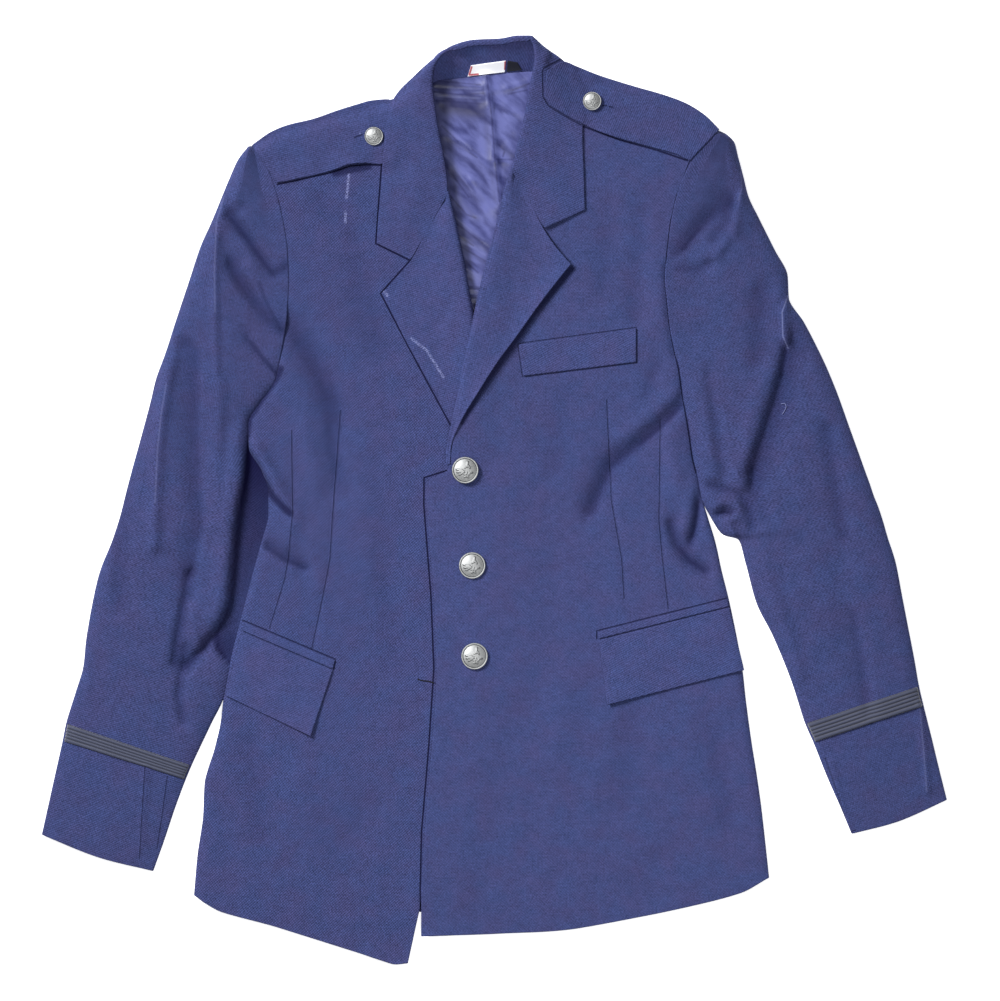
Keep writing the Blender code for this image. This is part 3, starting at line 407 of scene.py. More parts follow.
def mesh_piece(name, points, faces, finish, grain=None, marks=None, replaces=()):
    """Make an object from points in mm, ride it on the coat, and hide the solid parts that it replaces."""
    mesh = bpy.data.meshes.new(name)
    mesh.from_pydata((points * MM).tolist(), [], faces)
    mesh.materials.append(finish)
    if grain is not None:
        mesh.attributes.new("grain", "FLOAT_VECTOR", "POINT").data.foreach_set(
            "vector", grain.astype(np.float32).ravel())
    for mark, values in (marks or {}).items():
        mesh.attributes.new(mark, "FLOAT", "POINT").data.foreach_set("value", values.astype(np.float32))
    mesh.update()
    mesh.shade_smooth()
    piece = bpy.data.objects.new(name, mesh)
    bpy.context.scene.collection.objects.link(piece)
    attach(piece, "root")
    if replaces:
        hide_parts(*replaces)
    return piece


def both_sides(values):
    """Values on a grid, as one list for the outer side and for the inner side without its border."""
    shape = (-1,) + values.shape[2:]
    return np.concatenate([values.reshape(shape), values[1:-1, 1:-1].reshape(shape)])


CUTS = {}  # each piece's flat width, length and area in mm


def cloth(name, middle, thickness, finish, replaces, slot="cloth", top_columns=slice(None), grain=None,
          marks=None):
    """A closed piece of cloth round a middle surface: middle ± normal · h. Returns its outer side."""
    normal, turned = grid_normals(middle, top_columns)
    half = thickness / 2
    rise = half * np.sqrt(1.0 - (1.0 - np.clip(edge_distance(middle) / half, 0.0, 1.0)) ** 2)
    top = middle + normal * rise[..., None]
    under = middle - normal * rise[..., None]
    rows, columns = middle.shape[:2]
    top_id = np.arange(rows * columns).reshape(rows, columns)
    under_id = top_id.copy()
    under_id[1:-1, 1:-1] = rows * columns + np.arange((rows - 2) * (columns - 2)).reshape(rows - 2, -1)
    faces = []
    for grid, order in ((top_id, 1), (under_id, -1)):
        quads = np.stack([grid[:-1, :-1], grid[:-1, 1:], grid[1:, 1:], grid[1:, :-1]], axis=-1)
        faces.append(quads.reshape(-1, 4)[:, ::-order if turned else order])
    grain = both_sides(grain_of(middle) if grain is None else grain)
    marks = {mark: both_sides(values) for mark, values in (marks or {}).items()}
    points = np.concatenate([top.reshape(-1, 3), under[1:-1, 1:-1].reshape(-1, 3)])
    mesh_piece(name, points, np.concatenate(faces).tolist(), finish, grain, marks, replaces)
    along = np.linalg.norm(np.diff(middle, axis=0), axis=-1).sum(axis=0).max()
    across = np.linalg.norm(np.diff(middle, axis=1), axis=-1).sum(axis=1).max()
    cell = np.cross(middle[:-1, 1:] - middle[:-1, :-1], middle[1:, :-1] - middle[:-1, :-1])
    CUTS[name] = (across, along, np.linalg.norm(cell, axis=-1).sum())
    print_on_map(name, top)
    print(f"{name}: {rows} x {columns} points, cloth {across:.0f} x {along:.0f} mm")
    return top


# %% [markdown]
# ## What lies on what
# Pockets, lapels, straps and the collar rest on the pieces below them. To find the height under a
# point, each finished surface is printed onto a map with one cell for each millimetre of the
# table. A search tree could answer the same question, but a map answers it for a whole grid at
# once, and blurring it a little makes the upper piece bridge small hollows as stiff cloth does.

# %% The height maps
MAP_CORNER = (-400.0, -410.0)
MAP_SHAPE = (820, 800)  # rows and columns of 1 mm
MAP_FINE = 0.8  # the surface is filled in to points this far apart, so no cell is missed
maps = {}


def refine(grid, times):
    """Fill a grid in with points straight between its own."""
    for axis in (0, 1):
        place = np.linspace(0, grid.shape[axis] - 1, (grid.shape[axis] - 1) * times + 1)
        i = np.minimum(place.astype(int), grid.shape[axis] - 2)
        share = np.expand_dims(place - i, tuple(k for k in range(grid.ndim) if k != axis))
        grid = np.take(grid, i, axis) * (1 - share) + np.take(grid, i + 1, axis) * share
    return grid


def print_on_map(name, top):
    """Keep the highest point of a surface in each cell it covers."""
    times = max(1, math.ceil(SPACING / MAP_FINE))
    points = refine(top, times).reshape(-1, 3)
    column = np.clip((points[:, 0] - MAP_CORNER[0]).astype(int), 0, MAP_SHAPE[1] - 1)
    row = np.clip((points[:, 1] - MAP_CORNER[1]).astype(int), 0, MAP_SHAPE[0] - 1)
    height = np.zeros(MAP_SHAPE[0] * MAP_SHAPE[1])
    np.maximum.at(height, row * MAP_SHAPE[1] + column, points[:, 2])
    maps[name] = height.reshape(MAP_SHAPE)


def box_sum(field, reach):
    """Sum of each cell's neighbours within a square."""
    for axis in (0, 1):
        field = sum(np.roll(field, k, axis) for k in range(-reach, reach + 1))
    return field


def rest_map(names, calm):
    """The highest of the named maps, grown by a cell, then blurred over what is covered."""
    height = np.max([maps[name] for name in names], axis=0)
    for axis in (0, 1):
        height = np.maximum(height, np.maximum(np.roll(height, 1, axis), np.roll(height, -1, axis)))
    covered = (height > 0).astype(float)
    for _ in range(2):
        weight = box_sum(covered, calm)
        height = np.where(weight > 0.5, box_sum(height * covered, calm) / np.maximum(weight, 1.0), 0.0)
        covered = (weight > 0.5).astype(float)
    return height


def read_map(height, x, y):
    """The map's height at each point, straight between the middles of its cells."""
    column = np.clip(x - MAP_CORNER[0] - 0.5, 0, MAP_SHAPE[1] - 2)
    row = np.clip(y - MAP_CORNER[1] - 0.5, 0, MAP_SHAPE[0] - 2)
    i, j = row.astype(int), column.astype(int)
    down, across = row - i, column - j
    upper = height[i, j] * (1 - across) + height[i, j + 1] * across
    lower = height[i + 1, j] * (1 - across) + height[i + 1, j + 1] * across
    return upper * (1 - down) + lower * down


def spread(lift, reach):
    """A lift grown by a number of grid cells and then blurred as far, so that it fades gently."""
    grown = np.pad(lift, reach, mode="edge")
    for axis in (0, 1):
        grown = np.max([np.roll(grown, k, axis) for k in range(-reach, reach + 1)], axis=0)
    for _ in range(2):
        grown = box_sum(grown, reach // 2) / (2 * (reach // 2) + 1) ** 2
    return grown[reach:-reach, reach:-reach]


print("map of the table:", MAP_SHAPE[0], "x", MAP_SHAPE[1], "mm")


# %% [markdown]
# ## Finishes
# Every cloth here is a node tree of its own: a colour, a weave and a relief. An image texture
# could hold the same, but nodes stay sharp at any distance and need no file. These helpers add a
# node, link its inputs and return the output that the next node needs.

# %% Node helpers
def add(tree, kind, inputs=None, **settings):
    """Add a node, set its options, and set or link its inputs."""
    node = tree.nodes.new(kind)
    for option, value in settings.items():
        setattr(node, option, value)
    for name, value in (inputs or {}).items():
        if isinstance(value, bpy.types.NodeSocket):
            tree.links.new(value, node.inputs[name])
        else:
            node.inputs[name].default_value = value
    return node


def math_node(tree, operation, first, second=0.0, clamp=False):
    """One Math node's result."""
    node = add(tree, "ShaderNodeMath", {0: first, 1: second}, operation=operation, use_clamp=clamp)
    return node.outputs[0]


def multiply_add(tree, value, by, plus, clamp=False):
    """value · by + plus."""
    node = add(tree, "ShaderNodeMath", {0: value, 1: by, 2: plus}, operation="MULTIPLY_ADD", use_clamp=clamp)
    return node.outputs[0]


def vector_math(tree, operation, first, second, output=0):
    """One Vector Math node's vector, or its number if the output is "Value"."""
    node = add(tree, "ShaderNodeVectorMath", {0: first, 1: second}, operation=operation)
    return node.outputs[output]


def ramp_down(tree, value, start, end):
    """1 below start, 0 past end."""
    node = add(tree, "ShaderNodeMapRange", {"Value": value, "From Min": start, "From Max": end,
                                            "To Min": 1.0, "To Max": 0.0}, interpolation_type="SMOOTHSTEP")
    return node.outputs["Result"]


def mix(tree, factor, first, second, blend="MIX"):
    """One Mix node between two colours."""
    # a Mix node's inputs 6 and 7 and its output 2 are the ones for colours
    node = add(tree, "ShaderNodeMix", {0: factor, 6: first, 7: second}, data_type="RGBA", blend_type=blend)
    return node.outputs[2]


def noise(tree, vector, scale, detail=2.0, roughness=0.5):
    """A noise texture's value."""
    node = add(tree, "ShaderNodeTexNoise", {"Vector": vector, "Scale": scale, "Detail": detail,
                                            "Roughness": roughness})
    return node.outputs[0]


def attribute(tree, name, output):
    """A mesh attribute."""
    return add(tree, "ShaderNodeAttribute", attribute_name=name).outputs[output]


def object_place(tree):
    """The shaded point's place in the object's own coordinates, in metres."""
    return add(tree, "ShaderNodeTexCoord").outputs["Object"]


def plan_place(tree, place):
    """The place in plan and in mm: x and y times 1000, and the height times nought."""
    return vector_math(tree, "MULTIPLY", place, (1000.0, 1000.0, 0.0))


def new_finish(name, roughness, specular=0.25, metallic=0.0, sheen=0.0, sheen_roughness=0.5,
               sheen_tint=(1.0, 1.0, 1.0, 1.0)):
    """A material, its node tree and its shader."""
    material = bpy.data.materials.new(name)
    material.use_nodes = True
    tree = material.node_tree
    shader = tree.nodes["Principled BSDF"]
    shader.inputs["Roughness"].default_value = roughness
    shader.inputs["Specular IOR Level"].default_value = specular
    shader.inputs["Metallic"].default_value = metallic
    shader.inputs["Sheen Weight"].default_value = sheen
    shader.inputs["Sheen Roughness"].default_value = sheen_roughness
    shader.inputs["Sheen Tint"].default_value = sheen_tint
    return material, tree, shader


def paint(tree, shader, colour, relief=None, distance=0.0, strength=1.0):
    """Link the colour to the shader, and the relief through a Bump node."""
    tree.links.new(colour, shader.inputs["Base Color"])
    if relief is not None:
        bump = add(tree, "ShaderNodeBump", {"Height": relief, "Distance": distance, "Strength": strength})
        tree.links.new(bump.outputs[0], shader.inputs["Normal"])


def srgb(red, green, blue):
    """A colour as seen, 0 to 255, as linear light."""
    value = np.array([red, green, blue]) / 255.0
    linear = np.where(value <= 0.04045, value / 12.92, ((value + 0.055) / 1.055) ** 2.4)
    return (*linear.tolist(), 1.0)


print("darkest wool as linear light:", [round(v, 4) for v in srgb(12, 11, 47)[:3]])

# %% [markdown]
# ## Lines drawn by a material
# A dart, a rubbed streak, a painted shadow beside an edge or a painted highlight along a crease is a
# line that is finer than the mesh. The material works out how far the shaded point is from each
# straight part of the line, and keeps the least.

# %% Lines drawn by a material
def nearest_line(tree, place, lines):
    """Distance in mm, in plan, to the nearest of several lines: |v − unit · clamp(v · unit)|."""
    best = None
    for line in lines:
        for (x0, y0), (x1, y1) in zip(line[:-1], line[1:]):
            length = math.hypot(x1 - x0, y1 - y0)
            unit = ((x1 - x0) / length, (y1 - y0) / length, 0.0)
            from_start = vector_math(tree, "SUBTRACT", place, (x0, y0, 0.0))
            along = vector_math(tree, "DOT_PRODUCT", from_start, unit, "Value")
            held = add(tree, "ShaderNodeClamp", {"Value": along, "Min": 0.0, "Max": length}).outputs[0]
            foot = add(tree, "ShaderNodeVectorMath", {0: unit, "Scale": held}, operation="SCALE").outputs[0]
            away = vector_math(tree, "DISTANCE", from_start, foot, "Value")
            best = away if best is None else math_node(tree, "MINIMUM", best, away)
    return best


# %% [markdown]
# ## Wool twill
# The wool is a twill: diagonal ribs under two millimetres apart, in a blue that drifts a little
# towards violet. The material reads the grain attribute, so the ribs follow each piece as it was
# cut. Noise breaks the ribs up and adds lint and soft cloudiness, and the shade attribute darkens
# the bottoms of folds, where little of the soft light gets in.

# %% Wool twill
WOOL_BLUE = srgb(55, 64, 107)
WOOL_VIOLET = srgb(60, 62, 103)
WOOL_DARK = srgb(12, 11, 47)
WOOL_SCUFF_AND_HIGHLIGHT = srgb(132, 138, 184)
SHADE_DEPTH = 0.62
TWILL_PITCH = 1.72  # mm between ribs
TWILL_SLOPE = (-0.66, 0.75, 0.0)
CROSS_SLOPE = (0.83, 0.56, 0.0)
RIB_CONTRAST = 0.11
CROSS_CONTRAST = 0.08
FIBRE_CONTRAST = 1.7
PATCH_CONTRAST = 0.50
# Painted light among these: crease lines paint shade into folds, shadow lines and the lines along edges of
# pieces lying above paint shadows, some seam and join lines carry a painted gap shadow, and worn and rubbed
# lines paint highlights along crease crests.
# kinds of line: full strength within, gone at, depth, and the colour it turns the cloth to
LINE_KINDS = {
    "seam": (0.2, 0.75, 0.25, WOOL_DARK), "join_and_shadow": (0.2, 0.85, 0.55, WOOL_DARK),
    "edge_shadow": (0.2, 0.95, 0.90, WOOL_DARK), "crease": (0.2, 3.4, 0.30, WOOL_DARK),
    "shadow": (1.0, 5.0, 0.70, WOOL_DARK), "worn": (0.1, 1.3, 0.13, WOOL_SCUFF_AND_HIGHLIGHT),
    "rubbed": (0.1, 1.0, 0.35, WOOL_SCUFF_AND_HIGHLIGHT),
}


def stripes(tree, grain, slope, pitch):
    """A sine wave across the grain, from −1 to 1: sin(2π · (grain · slope) / pitch)."""
    scaled = [component * 2 * math.pi / pitch for component in slope]
    return math_node(tree, "SINE", vector_math(tree, "DOT_PRODUCT", grain, scaled, "Value"))


def wool_twill(name, lines=None, scuffs=(), boldness=1.0, strength=1.0, speckle=1.0):
    """Twill cloth: base colour times (level + ribs + lint + cloudiness), then painted shade and drawn lines.

    boldness scales the ribs, speckle the lint, and strength the brightness, which paints a whole piece
    lighter or darker for how the light falls on it."""
    material, tree, shader = new_finish(name, roughness=0.92, specular=0.08, sheen=0.04,
                                        sheen_roughness=0.6, sheen_tint=srgb(150, 155, 200))
    grain = attribute(tree, "grain", "Vector")
    rib = stripes(tree, grain, TWILL_SLOPE, TWILL_PITCH)
    cross = stripes(tree, grain, CROSS_SLOPE, TWILL_PITCH * 1.1)
    fibre = noise(tree, grain, 0.62, 2.0, 0.6)
    place = object_place(tree)
    flat_place = plan_place(tree, place)
    drift = noise(tree, place, 42.0, 3.0, 0.6)
    patch = noise(tree, place, 130.0, 3.0, 0.6)
    tint = multiply_add(tree, drift, 3.2, -1.15, clamp=True)
    colour = mix(tree, tint, WOOL_BLUE, WOOL_VIOLET)
    level = strength - (FIBRE_CONTRAST * speckle + PATCH_CONTRAST) / 2
    broken = math_node(tree, "MULTIPLY", rib, multiply_add(tree, fibre, 4.0, -1.0))
    weave = multiply_add(tree, broken, RIB_CONTRAST * boldness, level)
    weave = multiply_add(tree, cross, CROSS_CONTRAST * boldness, weave)
    speckled = multiply_add(tree, fibre, FIBRE_CONTRAST * speckle, weave)
    cloudy = multiply_add(tree, patch, PATCH_CONTRAST, speckled)
    brightness = add(tree, "ShaderNodeCombineColor", {0: cloudy, 1: cloudy, 2: cloudy}).outputs[0]
    colour = mix(tree, 1.0, colour, brightness, "MULTIPLY")
    shade = multiply_add(tree, attribute(tree, "shade", "Fac"), SHADE_DEPTH, 0.0, clamp=True)
    colour = mix(tree, shade, colour, WOOL_DARK)
    relief = multiply_add(tree, rib, 0.4, fibre)
    for kind, drawn in (lines or {}).items():
        full, gone, depth, tone = LINE_KINDS[kind]
        near = ramp_down(tree, nearest_line(tree, flat_place, drawn), full, gone)
        colour = mix(tree, math_node(tree, "MULTIPLY", near, depth), colour, tone)
        if kind in ("seam", "join_and_shadow", "edge_shadow"):
            relief = multiply_add(tree, near, -4.0, relief)
    if scuffs:
        near = ramp_down(tree, nearest_line(tree, flat_place, scuffs), 0.2, 1.8)
        streak = noise(tree, grain, 0.8, 4.0, 0.7)
        shown = add(tree, "ShaderNodeMapRange", {"Value": streak, "From Min": 0.44, "From Max": 0.6})
        colour = mix(tree, math_node(tree, "MULTIPLY", near, shown.outputs["Result"]), colour, WOOL_SCUFF_AND_HIGHLIGHT)
    paint(tree, shader, colour, relief, 0.0003, 0.9)
    return material


# painted light: the flaps, welt and back a little lighter than the fronts
wool = wool_twill("wool_twill", boldness=0.95, strength=1.06)
print("wool of the flaps, welt and back:", len(wool.node_tree.nodes), "nodes")

# %% [markdown]
# ## Satin
# The lining is a satin: smooth, a little glossy, with a grain too fine to see. Thin satin creases
# into flat facets with sharp borders. Its mesh carries the wide folds, and the material paints the
# rest: painted light and shade on the facets, painted shade in the valleys of the sharp creases and
# painted highlights along their edges.

# %% Satin
LINING_VALLEY_SHADE = [
    [(-51, 361), (-12, 357.5)], [(-52, 351.5), (-30, 349), (-9, 350)], [(-50, 344), (-9, 341)],
    [(-6.5, 364), (-3.5, 340), (-2, 327), (0.6, 291), (4.5, 257)], [(1, 293.4), (15, 293.2)],
    [(4, 306), (9, 301), (7.5, 296)], [(28, 353), (12, 349.5)], [(30, 358.5), (16, 353)],
    [(-45, 322), (-21, 299), (-15, 295)], [(-41, 287), (-22, 261)], [(-38, 262), (-24, 246), (-16, 243)],
    [(-35, 240), (-10, 221)], [(-32, 229), (-18, 219)], [(-28, 218), (-8, 206)],
    [(-22, 182.5), (-9, 181.5)], [(-20, 174.5), (-10, 173.5)], [(-18, 167.5), (-12, 166.5)],
    [(-25, 206), (-14, 196)],
]
LINING_EDGE_HIGHLIGHTS = [
    [(-44, 325), (-20, 302)], [(-38, 292), (-19, 266)], [(-34, 243.5), (-9, 224.5)],
    [(-28, 223), (-8, 211)], [(-48, 347.5), (-12, 346)], [(-40, 354.5), (-12, 354)],
    [(-9, 362), (-6, 338)], [(-22, 185.5), (-8, 184.5)], [(-20, 178), (-9, 177)],
    [(-30, 308), (-22, 300)], [(-26, 200), (-12, 190)],
]


def satin(name):
    """Satin lining: soft gloss, painted light and shade on facets drawn out along the creases, fine threads,
    and sharp creases painted as shade in their valleys and highlights on their edges.
    """
    material, tree, shader = new_finish(name, roughness=0.38, specular=0.45, sheen=0.05)
    place = object_place(tree)
    flat_place = plan_place(tree, place)
    turned = add(tree, "ShaderNodeMapping", {"Vector": flat_place, "Rotation": (0.0, 0.0, 0.72)}).outputs[0]
    drawn = vector_math(tree, "MULTIPLY", turned, (0.05, 0.13, 0.0))
    cloud = noise(tree, drawn, 1.0, 2.0, 0.45)
    thread = noise(tree, attribute(tree, "grain", "Vector"), 1.2, 2.0, 0.5)
    # painted light and shade: a stretched noise makes the satin's facets lighter and darker
    facets = multiply_add(tree, cloud, 3.6, -1.4)
    light = multiply_add(tree, thread, 0.5, facets, clamp=True)
    colour = mix(tree, light, srgb(50, 54, 106), srgb(90, 95, 152))
    colour = mix(tree, attribute(tree, "shade", "Fac"), colour, srgb(22, 22, 64))
    crumple = noise(tree, flat_place, 0.22, 3.0, 0.6)
    for lines, gone, depth, tone in ((LINING_VALLEY_SHADE, 1.4, 0.85, srgb(22, 22, 72)),
                                     (LINING_EDGE_HIGHLIGHTS, 1.5, 0.35, srgb(120, 126, 182))):
        near = ramp_down(tree, nearest_line(tree, flat_place, lines), 0.1, gone)
        part = multiply_add(tree, crumple, depth, 0.0, clamp=True)
        colour = mix(tree, math_node(tree, "MULTIPLY", near, part), colour, tone)
    paint(tree, shader, colour, cloud, 0.0006, 0.5)
    return material


lining_satin = satin("lining_satin")
print("satin:", len(LINING_VALLEY_SHADE), "valleys and", len(LINING_EDGE_HIGHLIGHTS), "edges drawn")

# %% [markdown]
# ## Braid, label and tape
# The braid is a ribbed silk band, nearly black, with painted highlights on its crests. The neck label
# is a plain white tape and the hanger a bit of black tape, so a weave in two shades is enough.

# %% Braid, label and tape
BRAID_THREAD = 0.9  # mm from one cross thread to the next


def ribbed_braid(name):
    """Dark braid: sine threads along its length, with painted highlights on the crests of its ribs."""
    material, tree, shader = new_finish(name, roughness=0.55, specular=0.35, sheen=0.2)
    across = add(tree, "ShaderNodeSeparateXYZ", {0: attribute(tree, "grain", "Vector")})
    phase = math_node(tree, "MULTIPLY", across.outputs[0], 2 * math.pi / BRAID_THREAD)
    twist = math_node(tree, "SINE", phase)
    # painted highlight: the crest attribute lightens the tops of the ribs
    shade = multiply_add(tree, twist, 0.12, attribute(tree, "crest", "Fac"))
    paint(tree, shader, mix(tree, shade, srgb(14, 15, 26), srgb(60, 65, 87)), twist, 0.0001, 0.6)
    return material


LABEL_MARKS = [[(-21.5, 366), (-19.5, 372.5)], [(9.2, 371), (9.4, 376.8)], [(-20.5, 366.0), (-14, 366.6)]]


def woven_white(name):
    """White label tape with a fine weave, a red stitch at both of its ends and a faint glow of painted
    light.
    """
    material, tree, shader = new_finish(name, roughness=0.6, specular=0.3)
    weave = noise(tree, attribute(tree, "grain", "Vector"), 2.0, 2.0, 0.5)
    flat_place = plan_place(tree, object_place(tree))
    red = ramp_down(tree, nearest_line(tree, flat_place, LABEL_MARKS), 0.5, 1.2)
    paper = mix(tree, weave, srgb(225, 226, 232), srgb(250, 250, 252))
    colour = mix(tree, math_node(tree, "MULTIPLY", red, 0.9), paper, srgb(160, 30, 50))
    paint(tree, shader, colour)
    # painted light: the label glows a little in its own colour
    tree.links.new(colour, shader.inputs["Emission Color"])
    shader.inputs["Emission Strength"].default_value = 0.3
    return material


def dark_tape(name):
    """Black hanger tape with a soft rib."""
    material, tree, shader = new_finish(name, roughness=0.6, specular=0.3)
    weave = noise(tree, attribute(tree, "grain", "Vector"), 1.8, 2.0, 0.5)
    paint(tree, shader, mix(tree, weave, srgb(14, 14, 20), srgb(48, 50, 62)))
    return material


braid_silk = ribbed_braid("braid_silk")
label_white = woven_white("label_white")
tape_black = dark_tape("tape_black")
print("tapes:", [finish.name for finish in (braid_silk, label_white, tape_black)])

# %% [markdown]
# ## Button metal
# The buttons are cast in a white metal, matt from wear, whose hollows have darkened. An attribute
# worked out from the relief marks its edges, so the dirt sits exactly round the raised work.

# %% Button metal
def aged_silver(name):
    """Cast white metal: two greys by noise, dirt where the hollow attribute is high."""
    material, tree, shader = new_finish(name, roughness=0.5, specular=0.5, metallic=1.0)
    place = object_place(tree)
    worn = noise(tree, place, 700.0, 3.0, 0.6)
    patchy = multiply_add(tree, worn, 0.8, 0.6)
    dirt = math_node(tree, "MULTIPLY", attribute(tree, "hollow", "Fac"), patchy, clamp=True)
    colour = mix(tree, worn, srgb(128, 130, 132), srgb(192, 193, 192))
    paint(tree, shader, mix(tree, dirt, colour, srgb(34, 35, 40)))
    tree.links.new(multiply_add(tree, worn, 0.25, 0.46), shader.inputs["Roughness"])
    return material


silver = aged_silver("aged_silver")
print("metal:", silver.name)

# %% [markdown]
# ## A rolled panel
# A front or a sleeve is cloth stretched between two lines, its near and its far edge. Where the
# coat folds round its side, the section ends in a roll: the upper half is a quarter ellipse as
# high as the pile, x = r(1 − cos a) and z = low + (height − low) sin a, and the lower half is a
# small quarter circle that turns the cloth under. Along the armhole nothing rolls, so the amount
# of roll fades from 1 to 0 there, and the cloth ends in a short flange, the seam allowance.

# %% Rolled panels
FLANGE = 0.3  # how far in a seam allowance turns under where nothing rolls
TUBE_CLEARANCE = 0.8  # how far inside the folds the underside of a tube starts
WIDEST_BEND = 0.3  # a roll takes up no more than this share of the width


def rolled_end(amount, radius):
    """Offset from the edge, share of the pile's height and drop below it, round a rolled end."""
    lift, turn = np.maximum(np.sin(ROLL), 0.0), np.maximum(-np.sin(ROLL), 0.0)
    under = LOW_ROLL * amount[:, None] * (1 - np.cos(ROLL)) + FLANGE * (1 - amount[:, None]) * turn
    offset = np.where(ROLL >= 0, radius[:, None] * (1 - np.cos(ROLL)), under)
    share = 1 - amount[:, None] * (1 - lift)
    return offset, share, np.broadcast_to(LOW_ROLL * turn, offset.shape)


def free_end(rows):
    """The same three for an end that is a cut edge."""
    offset = np.broadcast_to(RIM, (rows, len(RIM)))
    return offset, np.ones(offset.shape), np.zeros(offset.shape)


def panel(near, far, amounts, radius, thickness, height_of, bows=(), corners=(), tube=False):
    """The middle surface of a panel: near + direction · station, at low + (height − low) · share.

    A station is a distance across the row, and the share is 1 on top and falls to 0 round a roll.
    Returns its grid, its row numbers and its top columns."""
    gap = np.linalg.norm(near[1] + far[1] - near[0] - far[0]) / 2
    middle = (near + far) / 2
    length = running_length(middle)
    up = ROLL[ROLL >= 0]
    start = np.interp(SHOULDER_REACH, np.arange(len(length)), length)
    below = np.interp(steps(length[-1] - start, SPACING, False) + start, length, np.arange(len(length)))
    angle = [up, np.full(len(below) - 1, math.pi / 2)]
    at = [SHOULDER_REACH * (1 - np.cos(up)), below[1:]]
    if not tube:
        angle.insert(0, ROLL[ROLL < 0])
        at.insert(0, LOW_ROLL * (1 - np.cos(ROLL[ROLL < 0])) / gap)
    angle, at = np.concatenate(angle), np.concatenate(at)
    at = snap(at, corners)
    a, b = read_rows(near, at, corners), read_rows(far, at)
    direction = (b - a) / np.linalg.norm(b - a, axis=1, keepdims=True)
    a, b = a + direction * SEAM_GAP, b - direction * SEAM_GAP
    width = np.linalg.norm(b - a, axis=1)
    bend = np.minimum(radius, WIDEST_BEND * width)
    rows = len(at)
    parts = []
    for end_amount in amounts:
        if end_amount is None:
            parts.append(free_end(rows))
        else:
            parts.append(rolled_end(np.interp(at, np.arange(len(near)), end_amount), bend))
    first, last = parts
    last = tuple(part[:, ::-1] for part in last)
    ends = first[0], width[:, None] - last[0]
    cells = max(4, round((width.max() - 2 * radius) / SPACING))
    between = np.linspace(0, 1, cells + 1)[1:-1]
    inner = ends[0][:, -1:] + (ends[1][:, :1] - ends[0][:, -1:]) * between
    station = np.concatenate([ends[0], inner, ends[1]], axis=1)
    flat = np.ones(inner.shape)
    share = np.concatenate([first[1], flat, last[1]], axis=1)
    drop = np.concatenate([first[2], flat * 0, last[2]], axis=1)
    top_columns = slice(0, station.shape[1])
    if tube:
        back = np.linspace(1, 0, cells // 2 + 1)[1:]
        low = LOW_ROLL + TUBE_CLEARANCE
        under = low + (width[:, None] - 2 * low) * back
        station = np.concatenate([station, under], axis=1)
        share = np.concatenate([share, np.zeros(under.shape)], axis=1)
        drop = np.concatenate([drop, np.full(under.shape, LOW_ROLL)], axis=1)
    across = station / width[:, None]
    plan = a[:, None] + direction[:, None] * station[..., None]
    for table, fade in bows:
        plan[..., 1] += read_table(table, across) * fade(at)[:, None]
    x, y = plan[..., 0], plan[..., 1]
    low_level = thickness / 2 + LOW_ROLL
    height = height_of(x, y, at[:, None], across) - thickness / 2
    z = low_level + (height - low_level) * share - drop
    over = np.maximum(np.sin(angle), 0.0)[:, None]
    z = low_level + (z - low_level) * over - LOW_ROLL * np.maximum(-np.sin(angle), 0.0)[:, None]
    return np.dstack([x, y, z]), at, top_columns


END_KNOTS = [0.0, 0.08, 0.3, 0.6]  # the sections that the solid has within its first row


def end_fade(rows, reach, from_end):
    """A weight that falls by a smooth step from 1 at one end of a panel to 0 after some rows."""
    knots = END_KNOTS + list(range(1, rows))

    def fade(at):
        index = np.interp(at, knots, np.arange(len(knots)))
        return 1.0 - step((len(knots) - 1 - index if from_end else index) / reach)

    return fade


def shared_amount(side, rows):
    """How fully the shared line rolls down: 0 along the armhole, 1 below the arm."""
    return step((np.arange(rows) - FORK_START[side]) / FORK_ROWS)


print("rolled rows:", {side: int((shared_amount(side, len(SHARED[side])) > 0).sum()) for side in SHARED})


# %% [markdown]
# ## Sleeves
# A sleeve is a tube pressed flat. Its upper half meets the front along the armhole, and its lower
# half lies on the table. One grid runs all the way round: over the top, round the outer fold and
# back underneath.

# %% Sleeves
SLEEVE_LIMIT = 8.5  # no crease goes deeper
COARSE_SHARE = 0.45  # how much of the solid's wide folds is kept under the sharper creases
